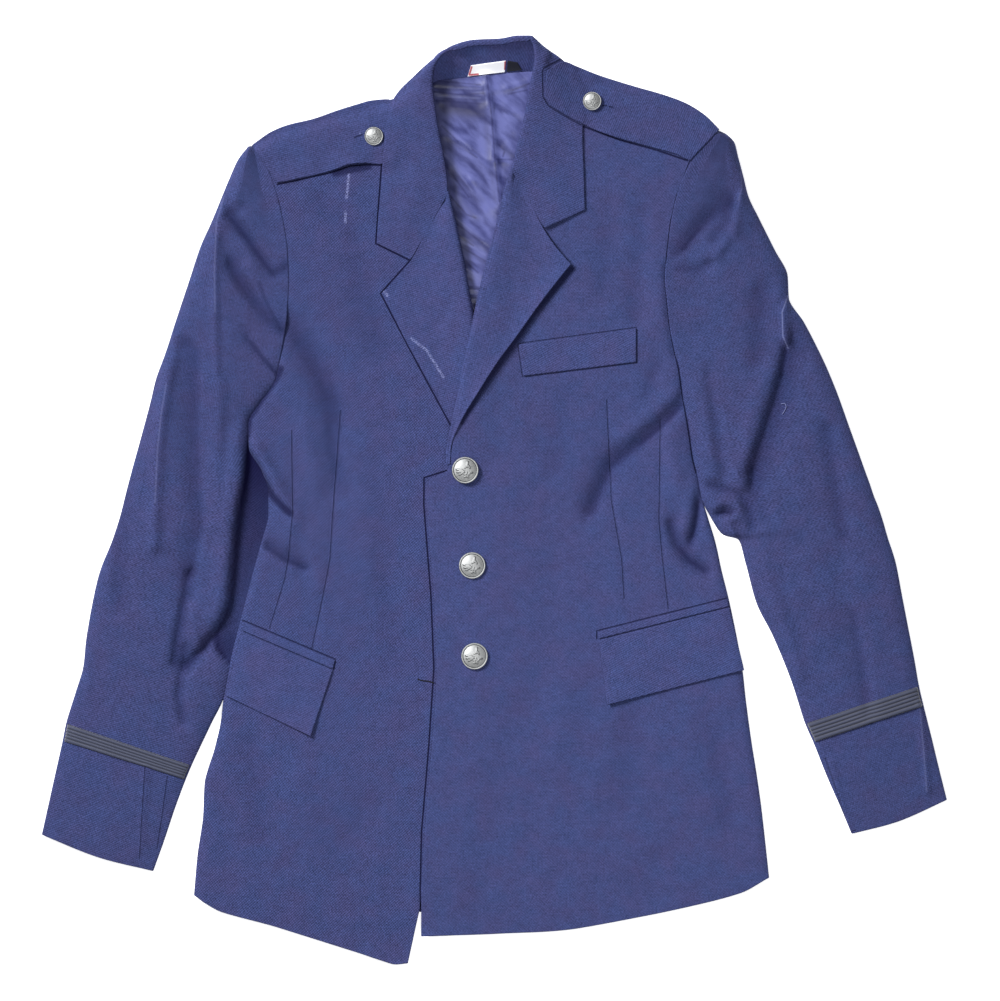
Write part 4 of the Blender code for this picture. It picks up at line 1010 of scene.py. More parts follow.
# columns: width, height, lean, line
SLEEVE_CREASES = {
    "right": [
        (6, -4.5, 0.3, [(-228, 245), (-221, 236), (-207, 218), (-198, 204), (-190, 195), (-179, 201)]),
        (5, 2.6, 0, [(-214, 244), (-200, 226), (-188, 208)]),
        (4, -1.8, 0, [(-216, 253), (-208, 239), (-198, 227)]),
        (7, -4.6, 0.3, [(-227, 202), (-218, 187), (-205, 169), (-193, 154), (-183, 146)]),
        (5, 2.4, 0, [(-212, 200), (-200, 181), (-187, 164)]),
        (5, -3.6, 0.4, [(-212, 138), (-202, 126), (-190, 112), (-185, 107)]),
        (4, 2, 0, [(-206, 140), (-196, 127), (-187, 118)]),
        (3.4, 2.2, 0, [(-233, 260), (-239, 239), (-240.6, 196), (-240, 150), (-239, 110)]),
        (8, -3, -0.5, [(-262, 136), (-256, 128), (-256, 74), (-255, 13), (-251, -20), (-262, -62)]),
        (6, 2.4, 0, [(-236, 100), (-238, 40), (-240, -20)]),
        (5, 3, 0, [(-275, 140), (-286, 74), (-289.5, 44), (-292, -10), (-293, -40)]),
        (5, -4.4, 0.3, [(-262, -62), (-273, -118), (-276, -140)]),
        (4, -3.4, 0.3, [(-267, -126), (-272, -168), (-268, -190)]),
        (3.2, 2.2, 0, [(-262, -90), (-254, -126)]),
        (5, -5.5, 0, [(-222, -102), (-242, -118), (-264, -142)]), (9, -2, 0, [(-318, 20), (-322, -90)]),
        (3, 1, 0, [(-300, -232), (-304, -300)]), (3, 1.6, 0, [(-352, -134), (-350, -160)]),
    ],
    "left": [
        (8, -3.8, 0.4, [(161, 215), (168, 224), (177, 235), (188, 243), (198, 252), (204, 258)]),
        (6, -2.6, 0, [(190, 226), (200, 240), (206, 252)]),
        (4, 2.4, 0, [(163, 210), (174, 207), (191, 212), (199, 222)]),
        (5, -2.8, 0, [(158, 200), (172, 198), (184, 204)]),
        (3.2, 2.4, 0.3, [(211, 284), (213, 269), (208, 248), (206, 232)]),
        (3.2, 3.2, 0.5, [(252.6, 176), (247.4, 162), (248, 141), (253, 131)]),
        (10, -4.6, 0.6, [(251, 130), (247, 107), (241, 86), (233, 62), (226, 42), (221, 24)]),
        (8, 3, 0, [(238, 112), (226, 80), (216, 40), (209, 14)]),
        (7, -2, 0, [(219, 24), (226, 0), (232, -14)]),
        (3.4, 3.4, 0, [(188, -6), (196, 0), (205, 0), (210, -6), (207, -14), (200, -20), (206, -30)]),
        (3.2, -4.4, 0, [(191, -12), (198, -10), (206, -10)]),
        (4.6, -3.6, 0, [(186, 14), (198, 9), (212, 4), (219, -6), (222, -22)]),
        (6, 2, 0, [(176, 120), (182, 70), (188, 20)]), (5, -1.8, 0, [(183, 110), (192, 60), (198, 20)]),
        (10, -2.2, 0, [(230, 180), (226, 120)]), (8, -2.2, 0, [(286, 60), (300, -30)]),
        (6, -2, 0, [(310, -100), (322, -180)]), (2.8, 1.6, 0, [(290, -226), (305, -284)]),
        (3, 1.6, 0, [(366, -175), (373, -250)]), (7, 2, 0, [(232, -52), (262, -150)]),
    ],
}
# The seams sewn into each sleeve, painted shade along its creases, painted highlights along the crests of
# its folds, and on the left one a painted shadow beside the armhole.
SLEEVE_LINES = {
    "right": {
        "seam": [[(-281, -238), (-285, -268), (-290, -300)], [(-300, -226), (-305, -308)]],
        "crease": [[(-226, 242), (-214, 227), (-207, 217), (-198, 204), (-191, 195.5)],
                   [(-209, 136), (-202, 126), (-190, 112), (-185.6, 107.8)],
                   [(-202, 187), (-198, 175), (-184, 147)]],
        "worn": [[(-233, 260), (-239, 239), (-240.6, 196), (-240, 162)],
                 [(-282, 100), (-286.4, 74), (-289.5, 44), (-291.6, -2)]],
    },
    "left": {
        "seam": [[(285, -222), (296, -254), (305, -285)], [(305, -286), (311, -284)]],
        "shadow": [[(162.5, 70), (166, 50)]],
        "crease": [[(162, 216), (168, 224), (177, 234)], [(251, 128), (246, 106)], [(192, -11), (205, -10)]],
        "rubbed": [[(252.6, 176), (247.4, 162), (248, 141), (252.6, 131)]],
        "worn": [[(212, 282), (213, 269), (210, 258)], [(366, -175), (372, -250)]],
    },
}
# Under the right arm the sleeve's edge stands left of the seam and the cloth drops into a hollow.
# columns: y, x of the crest above the hollow
HOLLOW_CREST = [(-145, -224), (-136, -236), (-125, -243), (-112, -242), (-100, -236), (-85, -231),
                (-60, -228.5), (-20, -225), (0, -222), (20, -218.5), (40, -216.5), (66, -211), (80, -200)]
HOLLOW_ENDS = (-145, 80)  # y of its foot and its top
HOLLOW_LEVEL = 3.4
HOLLOW_BANK = 4.0  # how wide the slope down into it is
HOLLOW_RIDGE = 3.5  # how high the cloth stands along the crest
RIDGE_INSET, RIDGE_WIDTH = 6.0, 7.0
RIDGE_FADE = (-130, 40, 30)  # y of its foot, and over how many mm it fades there and at the top
# columns: y, how much painted shade the hollow gets
HOLLOW_SHADE = [(-150, 0.8), (-125, 1.1), (-105, 0.7), (-60, 0.85), (-30, 1.0), (0, 1.2), (20, 1.42),
                (45, 1.62), (90, 1.7)]
FOOT_SHADE, FOOT_WIDTH = 0.45, 3.0


def sleeve_edges(side):
    """A sleeve's inner and outer edges, row by row from the shoulder to the cuff."""
    shared, arm = np.array(SHARED[side], float), np.array(ARM[side], float)
    return np.vstack([shared[:, 0:2], arm[:, 0:2]]), np.vstack([shared[:, 2:4], arm[:, 2:4]])


def past_crest(x, y):
    """1 in the hollow under the right arm, 0 outside it."""
    past = step((x - read_table(HOLLOW_CREST, y)) / HOLLOW_BANK)
    return past * (y < HOLLOW_ENDS[1]) * (y > HOLLOW_ENDS[0])


def crest_ridge(x, y):
    """The raised fold beside the hollow: height · exp(−(distance / width)²), faded at both ends."""
    foot, low_fade, top_fade = RIDGE_FADE
    bell = np.exp(-(((x - read_table(HOLLOW_CREST, y) + RIDGE_INSET) / RIDGE_WIDTH) ** 2))
    return HOLLOW_RIDGE * bell * step((HOLLOW_ENDS[1] - y) / top_fade) * step((y - foot) / low_fade)


def sleeve(side):
    """The middle surface of one sleeve: pile height · crown + folds + creases + ripple."""
    inner, outer = sleeve_edges(side)
    rolled = shared_amount(side, len(inner))

    def height_of(x, y, at, across):
        crown = 1.0 - SLEEVE_CROWN * (2.0 * across - 1.0) ** 2
        own = read_table(SLEEVE_HEIGHT, y) * crown + COARSE_SHARE * fold_heights(SLEEVE_FOLDS[side], x, y)
        own = own + np.maximum(crease_heights(SLEEVE_CREASES[side], x, y), -SLEEVE_LIMIT) + ripple(x, y, 5)
        if side == "right":
            past = past_crest(x, y)
            own = own + (HOLLOW_LEVEL - own) * past
            own = own + crest_ridge(x, y) * (1 - past)
        at_seam = (1.0 - np.interp(at, np.arange(len(inner)), rolled)) * (1.0 - step(across / SEAM_REACH))
        return own + (read_table(BODY_HEIGHT, y) + SEAM_RISE - own) * at_seam

    bows = [(CUFF_BOW, end_fade(len(inner), 3, True))]
    return panel(inner, outer, (rolled, np.ones(len(inner))), SLEEVE_ROLL, WALL, height_of, bows, tube=True)


sleeve_tops = {}
for side in ("right", "left"):
    middle, at, top_columns = sleeve(side)
    x, y = middle[..., 0], middle[..., 1]
    # painted shade: darker in the troughs of the creases, and darkest in the hollow under the right arm
    shade = trough_shade(crease_heights(SLEEVE_CREASES[side], x, y))
    if side == "right":
        foot = np.exp(-(((x - read_table(HOLLOW_CREST, y) - FOOT_WIDTH) / FOOT_WIDTH) ** 2))
        shade = np.maximum(shade, past_crest(x, y) * (read_table(HOLLOW_SHADE, y) + FOOT_SHADE * foot))
    # painted shade: the sleeves a little darker than the fronts
    sleeve_wool = wool_twill(f"wool_twill_sleeve_{side}", SLEEVE_LINES[side], boldness=1.1, strength=0.96)
    solids = (f"sleeve_top_{side}", f"sleeve_under_{side}")
    top = cloth(f"sleeve_{side}", middle, WALL, sleeve_wool, solids, top_columns=top_columns,
                marks={"shade": shade})
    sleeve_tops[side] = (top[:, top_columns], at)

# %% [markdown]
# ## Fronts and back
# A front hangs from the shoulder seam, and its side edge folds round to the back. The darts are
# lines of stitching that shape the waist, so the material draws them and the surface is pressed in
# a little along them. The left front buttons over the right one, so it is lifted wherever the
# right one lies below it.

# %% Fronts
CENTRE_CORNERS = {"right": (), "left": (15, 16)}
BODY_CREASES = {
    "right": [
        (7, 3.4, 0, [(-206, 46), (-190, 18), (-180, -4), (-172, -12)]),
        (9, -2.2, 0.3, [(-176, 150), (-150, 104), (-141, 82), (-138, 40), (-128, 10)]),
        (8, 2.4, 0, [(-165, 62), (-150, 16)]), (7, 2.6, 0, [(-174, -20), (-176, -34)]),
        (5, -3, 0.3, [(-192, 4), (-183, -7), (-174, -15)]),
        (4.5, -3.6, 0.5, [(-196, -41), (-181, -51), (-164, -59)]), (5, 2, 0, [(-192, -50), (-176, -60)]),
        (14, 1.6, 0, [(-120, 40), (-108, -60)]), (8, 1.6, 0, [(-160, -30), (-150, -75)]),
        (16, -1.6, 0, [(-120, 200), (-100, 130)]), (12, -1.4, 0, [(-150, 255), (-120, 230)]),
        (14, -1.2, 0, [(-96, -60), (-86, -140)]), (14, 1.6, 0, [(-170, -240), (-150, -300)]),
        (12, -1.4, 0, [(-210, -210), (-200, -290)]),
    ],
    "left": [
        (7, -3.6, -0.4, [(166, 92), (158, 80), (146, 66), (125, 48), (100, 28), (90, 4), (84, -10)]),
        (7, 2.2, 0, [(156, 92), (136, 74), (112, 56)]),
        (5, -3.8, 0, [(152, -20), (158, -40), (168, -52), (182, -61)]),
        (4, -4.2, 0, [(176, -2), (174, -20), (169, -36)]), (6, 2.6, 0, [(168, 6), (164, -24)]),
        (8, 2.2, 0, [(152, 60), (158, 10)]), (12, -2.4, 0, [(125, 244), (122, 160)]),
        (14, -1.4, 0, [(100, 250), (92, 180)]), (14, -1.2, 0, [(60, 90), (52, 30)]),
        (16, 1.2, 0, [(60, -150), (50, -220)]), (16, -1.2, 0, [(120, -190), (110, -260)]),
        (12, -1.4, 0, [(190, -200), (200, -280)]), (7, -1.6, 0, [(140, 116), (132, 92)]),
        (4, -2.4, 0, [(148, 200), (150, 160), (156, 126)]),
    ],
}
DARTS = {
    "right": [[(-132, 77), (-139, -17), (-141, -51), (-146, -77), (-157, -129)],
              [(-174, 60), (-173, -10), (-177, -51), (-180, -68), (-193, -110)]],
    "left": [[(97, 86), (101, 0), (110, -51), (112, -84)],
             [(143, 69), (142, -17), (145, -51), (150, -93)]],
}
SCUFFS = {
    "right": [[(-125, 280), (-127, 260)], [(-128, 248), (-128, 239)]],
    "left": [],
}
SEAM_PRESS, PRESS_WIDTH = 0.6, 2.5
LIFT_REACH = 26.0  # mm over which a lift eases back to the cloth's own height
BOLDNESS = {"right": 2.1, "left": 0.9}
SPECKLE = {"right": 1.0, "left": 0.9}
# painted light: the left front a little lighter than the right one
FRONT_PAINTED_LIGHT = {"right": 1.0, "left": 1.03}
# Where a pocket's jetting or welt is sewn in, the cloth dips into a dark line just outside it, partly the
# seam and partly a painted gap shadow. The front's crease lines are painted shade, and its shadow lines
# painted shadows.
FRONT_LINES = {
    "right": {
        "seam": DARTS["right"],
        "join_and_shadow": [[(-216.5, -103.2), (-136.5, -136.9), (-138.2, -146)],
                 [(-205, 303), (-189.5, 270), (-181, 236), (-177.8, 215), (-176.8, 188), (-178.8, 155),
                  (-182.8, 130), (-188.8, 103)]],
        # painted shadows along the edges of the right lapel, the collar, the left front and the right strap,
        # which lie over this front
        "edge_shadow": [[(-71.5, 207), (-97.5, 178), (-87.5, 158.5), (-66.5, 118.5), (-31.5, 53.5)],
                 [(-72.5, 206.2), (-101.7, 220.6), (-98.7, 262), (-94.7, 314)],
                 [(-40.8, 25.4), (-60.2, 19.4), (-60.4, -4), (-54.2, -84), (-51.8, -145), (-56.2, -212),
                  (-62.4, -285), (-63.6, -335), (-62.8, -376)],
                 [(-186, 271.5), (-141, 281.6), (-124, 287.6), (-112, 288.6), (-98, 288)]],
        "crease": [[(-194, -42), (-180, -51), (-165, -58)]],
        "shadow": [[(-184, 113), (-188, 104), (-200, 87), (-211, 70), (-213, 56)],
                   [(-198, 15), (-190.5, 3.5), (-182.5, -5), (-176, -11)], [(-137, 281), (-108, 287)]],
    },
    "left": {
        "seam": DARTS["left"] + [[(24.6, 106.4), (20.4, 134.6), (122.6, 148.6), (122.6, 118.6),
                                  (24.6, 106.4)]],
        # a painted shadow along the left strap's lower edge
        "edge_shadow": [[(76, 321.5), (109, 309.5), (141, 300.6), (166, 292)]],
        "join_and_shadow": [[(88.4, -119), (88.4, -112.4), (200, -84.3)],
                 [(168, 291), (157, 262), (151.7, 239), (148.7, 214), (146.7, 191), (148.7, 171),
                  (150.7, 151), (154.7, 130), (158.7, 113), (161.7, 92), (166.7, 63), (170.7, 36),
                  (173.7, 24)]],
        "crease": [[(163, 84), (146, 66), (126, 49)], [(160, -42), (168, -52), (180, -60)],
                   [(175, -6), (171, -30)], [(148, 186), (150, 160), (156, 128), (161, 98)]],
        "shadow": [[(66, 199), (34, 161), (18, 138), (-14, 92), (-28, 68)]],
    },
}


def body_edges(side):
    """A front's centre edge and side edge, row by row from the shoulder to the hem."""
    shared, lower = np.array(SHARED[side], float), np.array(BODY[side], float)
    return np.vstack([shared[:, 4:6], lower[:, 2:4]]), np.vstack([shared[:, 0:2], lower[:, 0:2]])


def body_folds(side, x, y):
    """The solid's wide folds made shallower, and the front's own creases."""
    return COARSE_SHARE * fold_heights(BODY_FOLDS[side], x, y) + crease_heights(BODY_CREASES[side], x, y)


def front(side, below=()):
    """The middle surface of one front: pile height + folds + ripple − darts, lifted by what is below."""
    centre, outer = body_edges(side)

    def height_of(x, y, at, across):
        pressed = SEAM_PRESS * np.exp(-((distance_to_lines(DARTS[side], x, y) / PRESS_WIDTH) ** 2))
        return read_table(BODY_HEIGHT, y) + body_folds(side, x, y) + ripple(x, y, 3) - pressed

    rows = len(centre)
    bows = [(SHOULDER_BOW[side], end_fade(rows, 7, False)), (HEM_BOW[side], end_fade(rows, 6, True))]
    amounts = (None, shared_amount(side, rows))
    middle, at, _ = panel(centre, outer, amounts, BODY_ROLL, WALL, height_of, bows, CENTRE_CORNERS[side])
    if below:
        support = read_map(rest_map(below, 2), middle[..., 0], middle[..., 1])
        lift = np.maximum(np.where(support > 0, support + REST_GAP + WALL / 2, 0.0) - middle[..., 2], 0.0)
        middle[..., 2] += spread(lift, round(LIFT_REACH / SPACING))
    return middle


def make_front(side, below=()):
    """Make one front in a cloth that carries its own darts and marks."""
    middle = front(side, below)
    sign = -1.0 if side == "right" else 1.0
    grain = np.dstack([sign * middle[..., 0], -middle[..., 1], middle[..., 2] * 0])
    finish = wool_twill(f"wool_twill_front_{side}", FRONT_LINES[side], SCUFFS[side], BOLDNESS[side],
                        strength=FRONT_PAINTED_LIGHT[side], speckle=SPECKLE[side])
    shade = trough_shade(body_folds(side, middle[..., 0], middle[..., 1]))
    cloth(f"forepart_{side}", middle, WALL, finish, (f"front_{side}",), grain=grain,
          marks={"shade": shade})


print("darts:", {side: len(lines) for side, lines in DARTS.items()})

# %% [markdown]
# ## Back
# The back lies flat on the table, in two halves that meet in a seam down the middle. Each half is
# straight lines across from that seam to the side, a little inside the front's fold.

# %% Back
BACK_HEM_Y, BACK_NECK_Y, BACK_HEM_RISE = -362.0, 361.0, 9.0
BACK_INSET = 3.6
BACK_STEP = 0.035  # the share of the width between two columns
BACK_WIDTH = 200.0  # about how wide a half is, to bring the rim's places to shares


def make_back(side):
    """One half of the back, flat on the table, from the centre seam to the side."""
    sign = -1.0 if side == "right" else 1.0
    outer = body_edges(side)[1]
    outer[:, 0] -= sign * BACK_INSET
    outer[0, 1] -= BACK_INSET
    outer[-1, 1] += BACK_HEM_RISE
    seam_y = np.interp(outer[:, 1], [outer[-1, 1], outer[0, 1]], [BACK_HEM_Y, BACK_NECK_Y])
    seam = np.column_stack([np.full(len(outer), sign * SEAM_GAP), seam_y])
    length = np.concatenate([[0.0], -np.diff(seam_y).cumsum()])
    at = even_rows(length, 2 * SPACING)
    a, b = read_rows(seam, at), read_rows(outer, at)
    share = steps(1.0, BACK_STEP, False, False)
    share = np.concatenate([RIM / BACK_WIDTH, share[1:-1], 1 - RIM[::-1] / BACK_WIDTH])
    plan = a[:, None] + (b - a)[:, None] * share[:, None]
    middle = np.dstack([plan, np.full(plan.shape[:2], WALL / 2)])
    cloth(f"back_panel_{side}", middle, WALL, wool, (f"back_{side}",))


for side in ("right", "left"):
    make_back(side)

# %% [markdown]
# ## Lining
# The lining of the back shows in the neck: a satin with a pleat down its middle and slack creases.
# Cloth simulation could make creases, but not these ones in these places, so each is a line in a
# table. A sharp crest, exp(−distance to the power 1.15), suits thin satin.

# %% Lining
# columns: y, right_x, left_x
LINING_SPAN = [(140, -46, 14), (170, -52, 20), (200, -58, 28), (230, -64, 36), (260, -68, 42),
               (290, -72, 46), (320, -70, 48), (340, -64, 46), (357, -54, 41)]
LINING_LEVEL = 5.6
CREST_POWER = 1.15
NECK_START, NECK_TUCK = 320.0, 1.0  # y where the rows start to follow the neck, and how far past it
# columns: x0, y0, x1, y1, width, depth of shade (negative, as a trough)
LINING_SHADES = [
    (-52, 357, -10, 353, 3.5, -3.2), (-50, 349, -12, 346, 3, -2.6), (-38, 341, -14, 337, 5, -4.4),
    (-9, 366, -7, 340, 2, -1.6), (-8, 340, -4, 294, 3.5, -2.2), (-3, 292, 1, 258, 3, -2),
    (4, 306, 16, 297, 3.5, -3.6), (14, 342, 26, 336, 3, -1.6), (-4, 350, 28, 356, 1.4, -1.6),
    (-46, 309, -10, 281, 3.5, -1.8), (-42, 288, -12, 258, 4, -2.4), (-34, 268, -16, 242, 4, -2.4),
    (-34, 238, -8, 219, 5, -3.4), (-28, 216, -6, 204, 3, -2.2), (-22, 183.5, -8, 182, 1.4, -3.2),
    (-20, 175.5, -9, 174, 1.4, -3), (-18, 168, -11, 166, 1.4, -3), (-16, 162, -12, 160, 1.4, -2.6),
    (-44, 338, -16, 336, 8, -4), (-52, 359, -34, 358, 5, -2.8), (-50, 330, -44, 300, 3, -1.8),
    (8, 290, 12, 270, 2.5, -1.6), (-26, 330, -10, 318, 6, -0.9),
]
NECK_SEAM = [(-60, 358), (-52, 360), (-33, 362), (-24, 363), (11, 367), (33, 368), (45, 366)]
LINING_FOLDS = [
    (-6, 366, -3, 340, 4, 2.6, -0.5), (-3, 340, 1, 292, 4, 2.6, -0.5), (1, 292, 5, 256, 4, 2.4, -0.5),
    (-2, 353, 10, 354, 2.2, 1.2), (10, 354, 30, 361, 2.2, 1.2), (-52, 327, -4, 291, 3.5, 2.2, 0.5),
    (-46, 300, -20, 275, 4, 1.8, 0.5), (-20, 275, -4, 250, 4, 1.8, 0.4), (-36, 245, 0, 214, 4, 2, 0.5),
    (-52, 358, -9, 356, 2.2, 1.8), (-52, 351, -9, 348, 2.4, 1.8), (-48, 343, -22, 338, 3.5, 1.6),
    (-38, 338, -12, 334, 5, 1.4), (-44, 314, -24, 308, 3, 1.2), (-34, 262, -18, 246, 3, 1.4, 0.4),
    (-33, 228, -12, 222, 4, 1.4, 0.4), (-26, 200, -4, 190, 4, 1.6, 0.5), (-22, 182, -8, 180, 2.2, 1.2),
    (-20, 174, -9, 172, 2.2, 1.2), (-18, 166, -11, 164, 2.2, 1), (8, 303, 15, 297, 2.2, 1.2),
    (12, 308, 20, 296, 2.2, 1.2), (10, 340, 16, 318, 4, 1), (4, 292, 14, 290, 2.2, 1),
    (-40, 285, -30, 262, 3, 1.2, 0.4), (18, 335, 28, 330, 3, 1.2),
]
span = np.array(LINING_SPAN, float)
at = even_rows(span[:, 0] - span[0, 0], SPACING * 0.6)
edges = read_rows(span, at)
across = steps(100.0, SPACING * 0.7) / 100.0
x = edges[:, 1:2] + (edges[:, 2:3] - edges[:, 1:2]) * across
y = np.repeat(edges[:, :1], len(across), axis=1)
neck = read_table(NECK_SEAM, x) + NECK_TUCK - span[-1, 0]
y = y + neck * step((y - NECK_START) / (span[-1, 0] - NECK_START))
z = LINING_LEVEL + fold_heights(LINING_FOLDS, x, y, power=CREST_POWER)
shade = trough_shade(fold_heights(LINING_SHADES, x, y))
cloth("satin_lining", np.dstack([x, y, z]), LINING, lining_satin, ("lining_back",), "lining",
      marks={"shade": shade})

# %% [markdown]
# ## The right front
# The pieces are made from the table up, because each one is lifted by those below it.

# %% The right front
make_front("right", ["satin_lining"])

# %% [markdown]
# ## Pockets
# Each hip pocket has a flap that hangs from a narrow jetting, and the breast pocket has a welt. A
# patch is a four-sided grid between its corners, laid on the front and rounded off at its edges.
# Shrinkwrap could lay it down too, but reading the height map keeps its own gentle belly and curl.

# %% Pockets
# corners in order: inner top, outer top, outer bottom, inner bottom
FLAPS = {"right": [(-139, -146), (-217, -113), (-231, -168), (-158, -203)],
         "left": [(90, -120), (202, -92), (215, -146), (97, -176)]}
JETS = {"right": [(-137, -137.5), (-216, -104), (-216.8, -112), (-139, -145)],
        "left": [(89, -113), (200, -85), (202, -91), (90, -119)]}
WELT = [(21, 134), (122, 148), (122, 119), (25, 107)]
PATCH_SAG = 4.0  # how far below its middle height a patch follows the cloth
FLAP_BELLY = 1.0
FLAP_CURL = 2.4  # how far the lower inner corner turns up
FAR_CURL = 0.4  # the outer corner's share of that
PATCH_TURN = 12  # degrees that the weave is turned by


def patch(name, corners, node, below, belly=0.0, curl=0.0):
    """A four-sided piece on a front: upper(u) + (lower(u) − upper(u)) · v, at the map's height."""
    inner_top, outer_top, outer_low, inner_low = (np.array(c, float) for c in corners)
    width, depth = np.linalg.norm(outer_top - inner_top), np.linalg.norm(inner_low - inner_top)
    u = steps(width, SPACING * 0.8)[:, None, None] / width
    v = steps(depth, SPACING * 0.8)[None, :, None] / depth
    upper = inner_top + (outer_top - inner_top) * u
    lower = inner_low + (outer_low - inner_low) * u
    plan = upper + (lower - upper) * v
    lay = read_map(rest_map(below, 2), plan[..., 0], plan[..., 1])
    lay = np.maximum(lay, np.median(lay) - PATCH_SAG)
    swell = np.sin(math.pi * u) * np.sin(math.pi * np.minimum(0.5 + 0.5 * v, 1.0)) * 2 * v
    corner = (1 - u) ** 4 * v**3 + FAR_CURL * u**4 * v**3
    middle = np.dstack([plan, lay + (belly * swell + curl * corner)[..., 0] + REST_GAP + TRIM / 2])
    cloth(name, middle, TRIM, wool, (node,), grain=laid_grain(middle, PATCH_TURN))


def make_hip_pocket(side):
    """Make the jetting and the flap of one hip pocket."""
    patch(f"jetting_{side}", JETS[side], f"pocket_jet_{side}", [f"forepart_{side}"])
    patch(f"flap_{side}", FLAPS[side], f"pocket_flap_{side}", [f"forepart_{side}"], FLAP_BELLY, FLAP_CURL)


make_hip_pocket("right")

# %% [markdown]
# ## Lapels
# A lapel is the front's own edge turned back. Its section starts under the roll, goes round it as
# part of a circle, and then runs down to lie on the chest. The roll stands highest near the neck.
# Folding one big sheet in a simulation would be truer, but the roll's line would end up anywhere.

# %% Lapels
# columns: roll_x, roll_y, outer_x, outer_y
LAPELS = {
    "right": [
        (-24, 58, -31, 54), (-24, 90, -44, 82), (-20, 112, -55, 100), (-17, 134, -66, 119),
        (-18, 155, -77, 139), (-22, 180, -87, 159), (-26, 205, -97, 178), (-30, 224, -85, 190),
        (-34, 242, -71.6, 206.4), (-37, 254, -58.7, 231.6), (-39.7, 266, -49, 258.2),
    ],
    "left": [
        (-41, 31, -38, 31), (-41, 42, -37, 46), (-36, 69, -28, 69), (-31, 95, -13, 94),
        (-26, 122, 3, 119), (-20, 147, 20, 142), (-14, 174, 37, 166), (-7, 203, 53, 187),
        (-1, 224, 66, 203), (5, 250, 53, 218), (8, 264, 42.6, 233.4), (12, 278, 30.4, 259.4),
        (16.3, 289.8, 23.4, 284.4),
    ],
}
LAPEL_CORNERS = {"right": (6,), "left": (8,)}
LAPEL_ROLL = 4.0  # radius of the roll
LAPEL_TURN = np.radians([-60, -35, -12, 10, 32, 54, 74, 90])
LAPEL_DROP = [(0.0, 0.0), (0.1, 0.0), (0.28, 0.35), (0.5, 0.8), (0.75, 1.0), (1.0, 1.0)]
LAPEL_SPRING = {"right": 1.2, "left": 4.5}  # how far the outer edge stands off the chest
NARROW_LAPEL = 14.0  # below this width the roll gets smaller in proportion
LEAST_NARROW = 0.12
STEADY_SHARE = 0.25  # from the roll to this share of the width, the cloth below isn't followed
LEAST_STAND = 0.3  # how far the roll always stands above the rest
LAPEL_WEAVE = {"right": 1.0, "left": -1.0}  # the left lapel's weave mirrors the right one's
LAPEL_SCUFFS = {"right": [[(-71, 139), (-58, 129), (-50, 116), (-44, 106)], [(-95, 180), (-92, 176)]],
                "left": []}
LAPEL_FOLDS = {"right": [(-70, 203, -27, 194, 5, -0.9), (-53, 144, -36, 170, 6, -0.8)], "left": []}


def lapel(side, below):
    """The middle surface of a lapel: crest − drop(share) · (crest − lay), with a round roll."""
    rows = np.array(LAPELS[side], float)
    middle = (rows[:, :2] + rows[:, 2:]) / 2
    at = snap(even_rows(running_length(middle), SPACING * 0.9), LAPEL_CORNERS[side])
    line = read_rows(rows, at, LAPEL_CORNERS[side])
    roll, outer = line[:, :2], line[:, 2:]
    width = np.linalg.norm(outer - roll, axis=1)
    direction = (outer - roll) / width[:, None]
    narrow = np.clip(width / NARROW_LAPEL, LEAST_NARROW, 1.0)
    near_gorge = step((at - (len(rows) - 4.0)) / 2.5)
    bend = LAPEL_ROLL * narrow * (1 - 0.6 * near_gorge)
    turned = bend[:, None] * (1 - np.cos(LAPEL_TURN))
    cells = max(4, round(width.max() / (SPACING * 0.9)))
    share = np.linspace(0, 1, cells + 1)[1:]
    rim = RIM[::-1][:-1] * narrow[:, None]
    flat = turned[:, -1:] + (width[:, None] - RIM[-1] * narrow[:, None] - turned[:, -1:]) * share
    away = np.concatenate([turned, flat, width[:, None] - rim[:, 1:], width[:, None]], axis=1)
    plan = roll[:, None] + direction[:, None] * away[..., None]
    x, y = plan[..., 0], plan[..., 1]
    lay = read_map(rest_map(below, 2), x, y) + REST_GAP + TRIM / 2
    out = away / width[:, None]
    steady = np.argmin(np.abs(out - STEADY_SHARE), axis=1)
    lay = np.where(out < STEADY_SHARE, lay[np.arange(len(at)), steady][:, None], lay)
    crest = read_table(ROLL_HEIGHT[side], roll[:, 1])[:, None] - TRIM / 2
    full = np.maximum(narrow, near_gorge)[:, None]
    crest = lay.max(axis=1, keepdims=True) * (1 - full) + crest * full
    crest = np.maximum(crest, lay + LEAST_STAND)
    z = crest - read_table(LAPEL_DROP, out) * (crest - lay)
    count = len(LAPEL_TURN)
    z[:, :count] -= bend[:, None] * (1 - np.sin(LAPEL_TURN))
    along = np.sin(np.pi * at / at[-1])[:, None]
    z += LAPEL_SPRING[side] * along * out**3 * narrow[:, None] + fold_heights(LAPEL_FOLDS[side], x, y)
    return np.dstack([x, y, z])


def make_lapel(side, below):
    """Make one lapel in a cloth that carries its rubbed streaks."""
    middle = lapel(side, below)
    # painted light: the lapels a little lighter than the fronts
    finish = wool_twill(f"wool_twill_lapel_{side}", scuffs=LAPEL_SCUFFS[side], boldness=1.05,
                        strength=1.06)
    grain = laid_grain(middle, 20, LAPEL_WEAVE[side])
    cloth(f"turned_lapel_{side}", middle, TRIM, finish, (f"lapel_{side}",), grain=grain)


make_lapel("right", ["forepart_right", "satin_lining"])
make_front("left", ["forepart_right", "turned_lapel_right", "satin_lining"])
make_hip_pocket("left")
patch("breast_welt_cloth", WELT, "breast_welt", ["forepart_left"])
make_lapel("left", ["forepart_left", "forepart_right", "turned_lapel_right", "satin_lining"])

# %% [markdown]
# ## Collar
# The collar has two parts. The stand is sewn to the neck and rises behind it. The leaf turns over
# the stand's top edge and falls to the shoulders, and its front edges meet the lapels at the
# gorge seam.

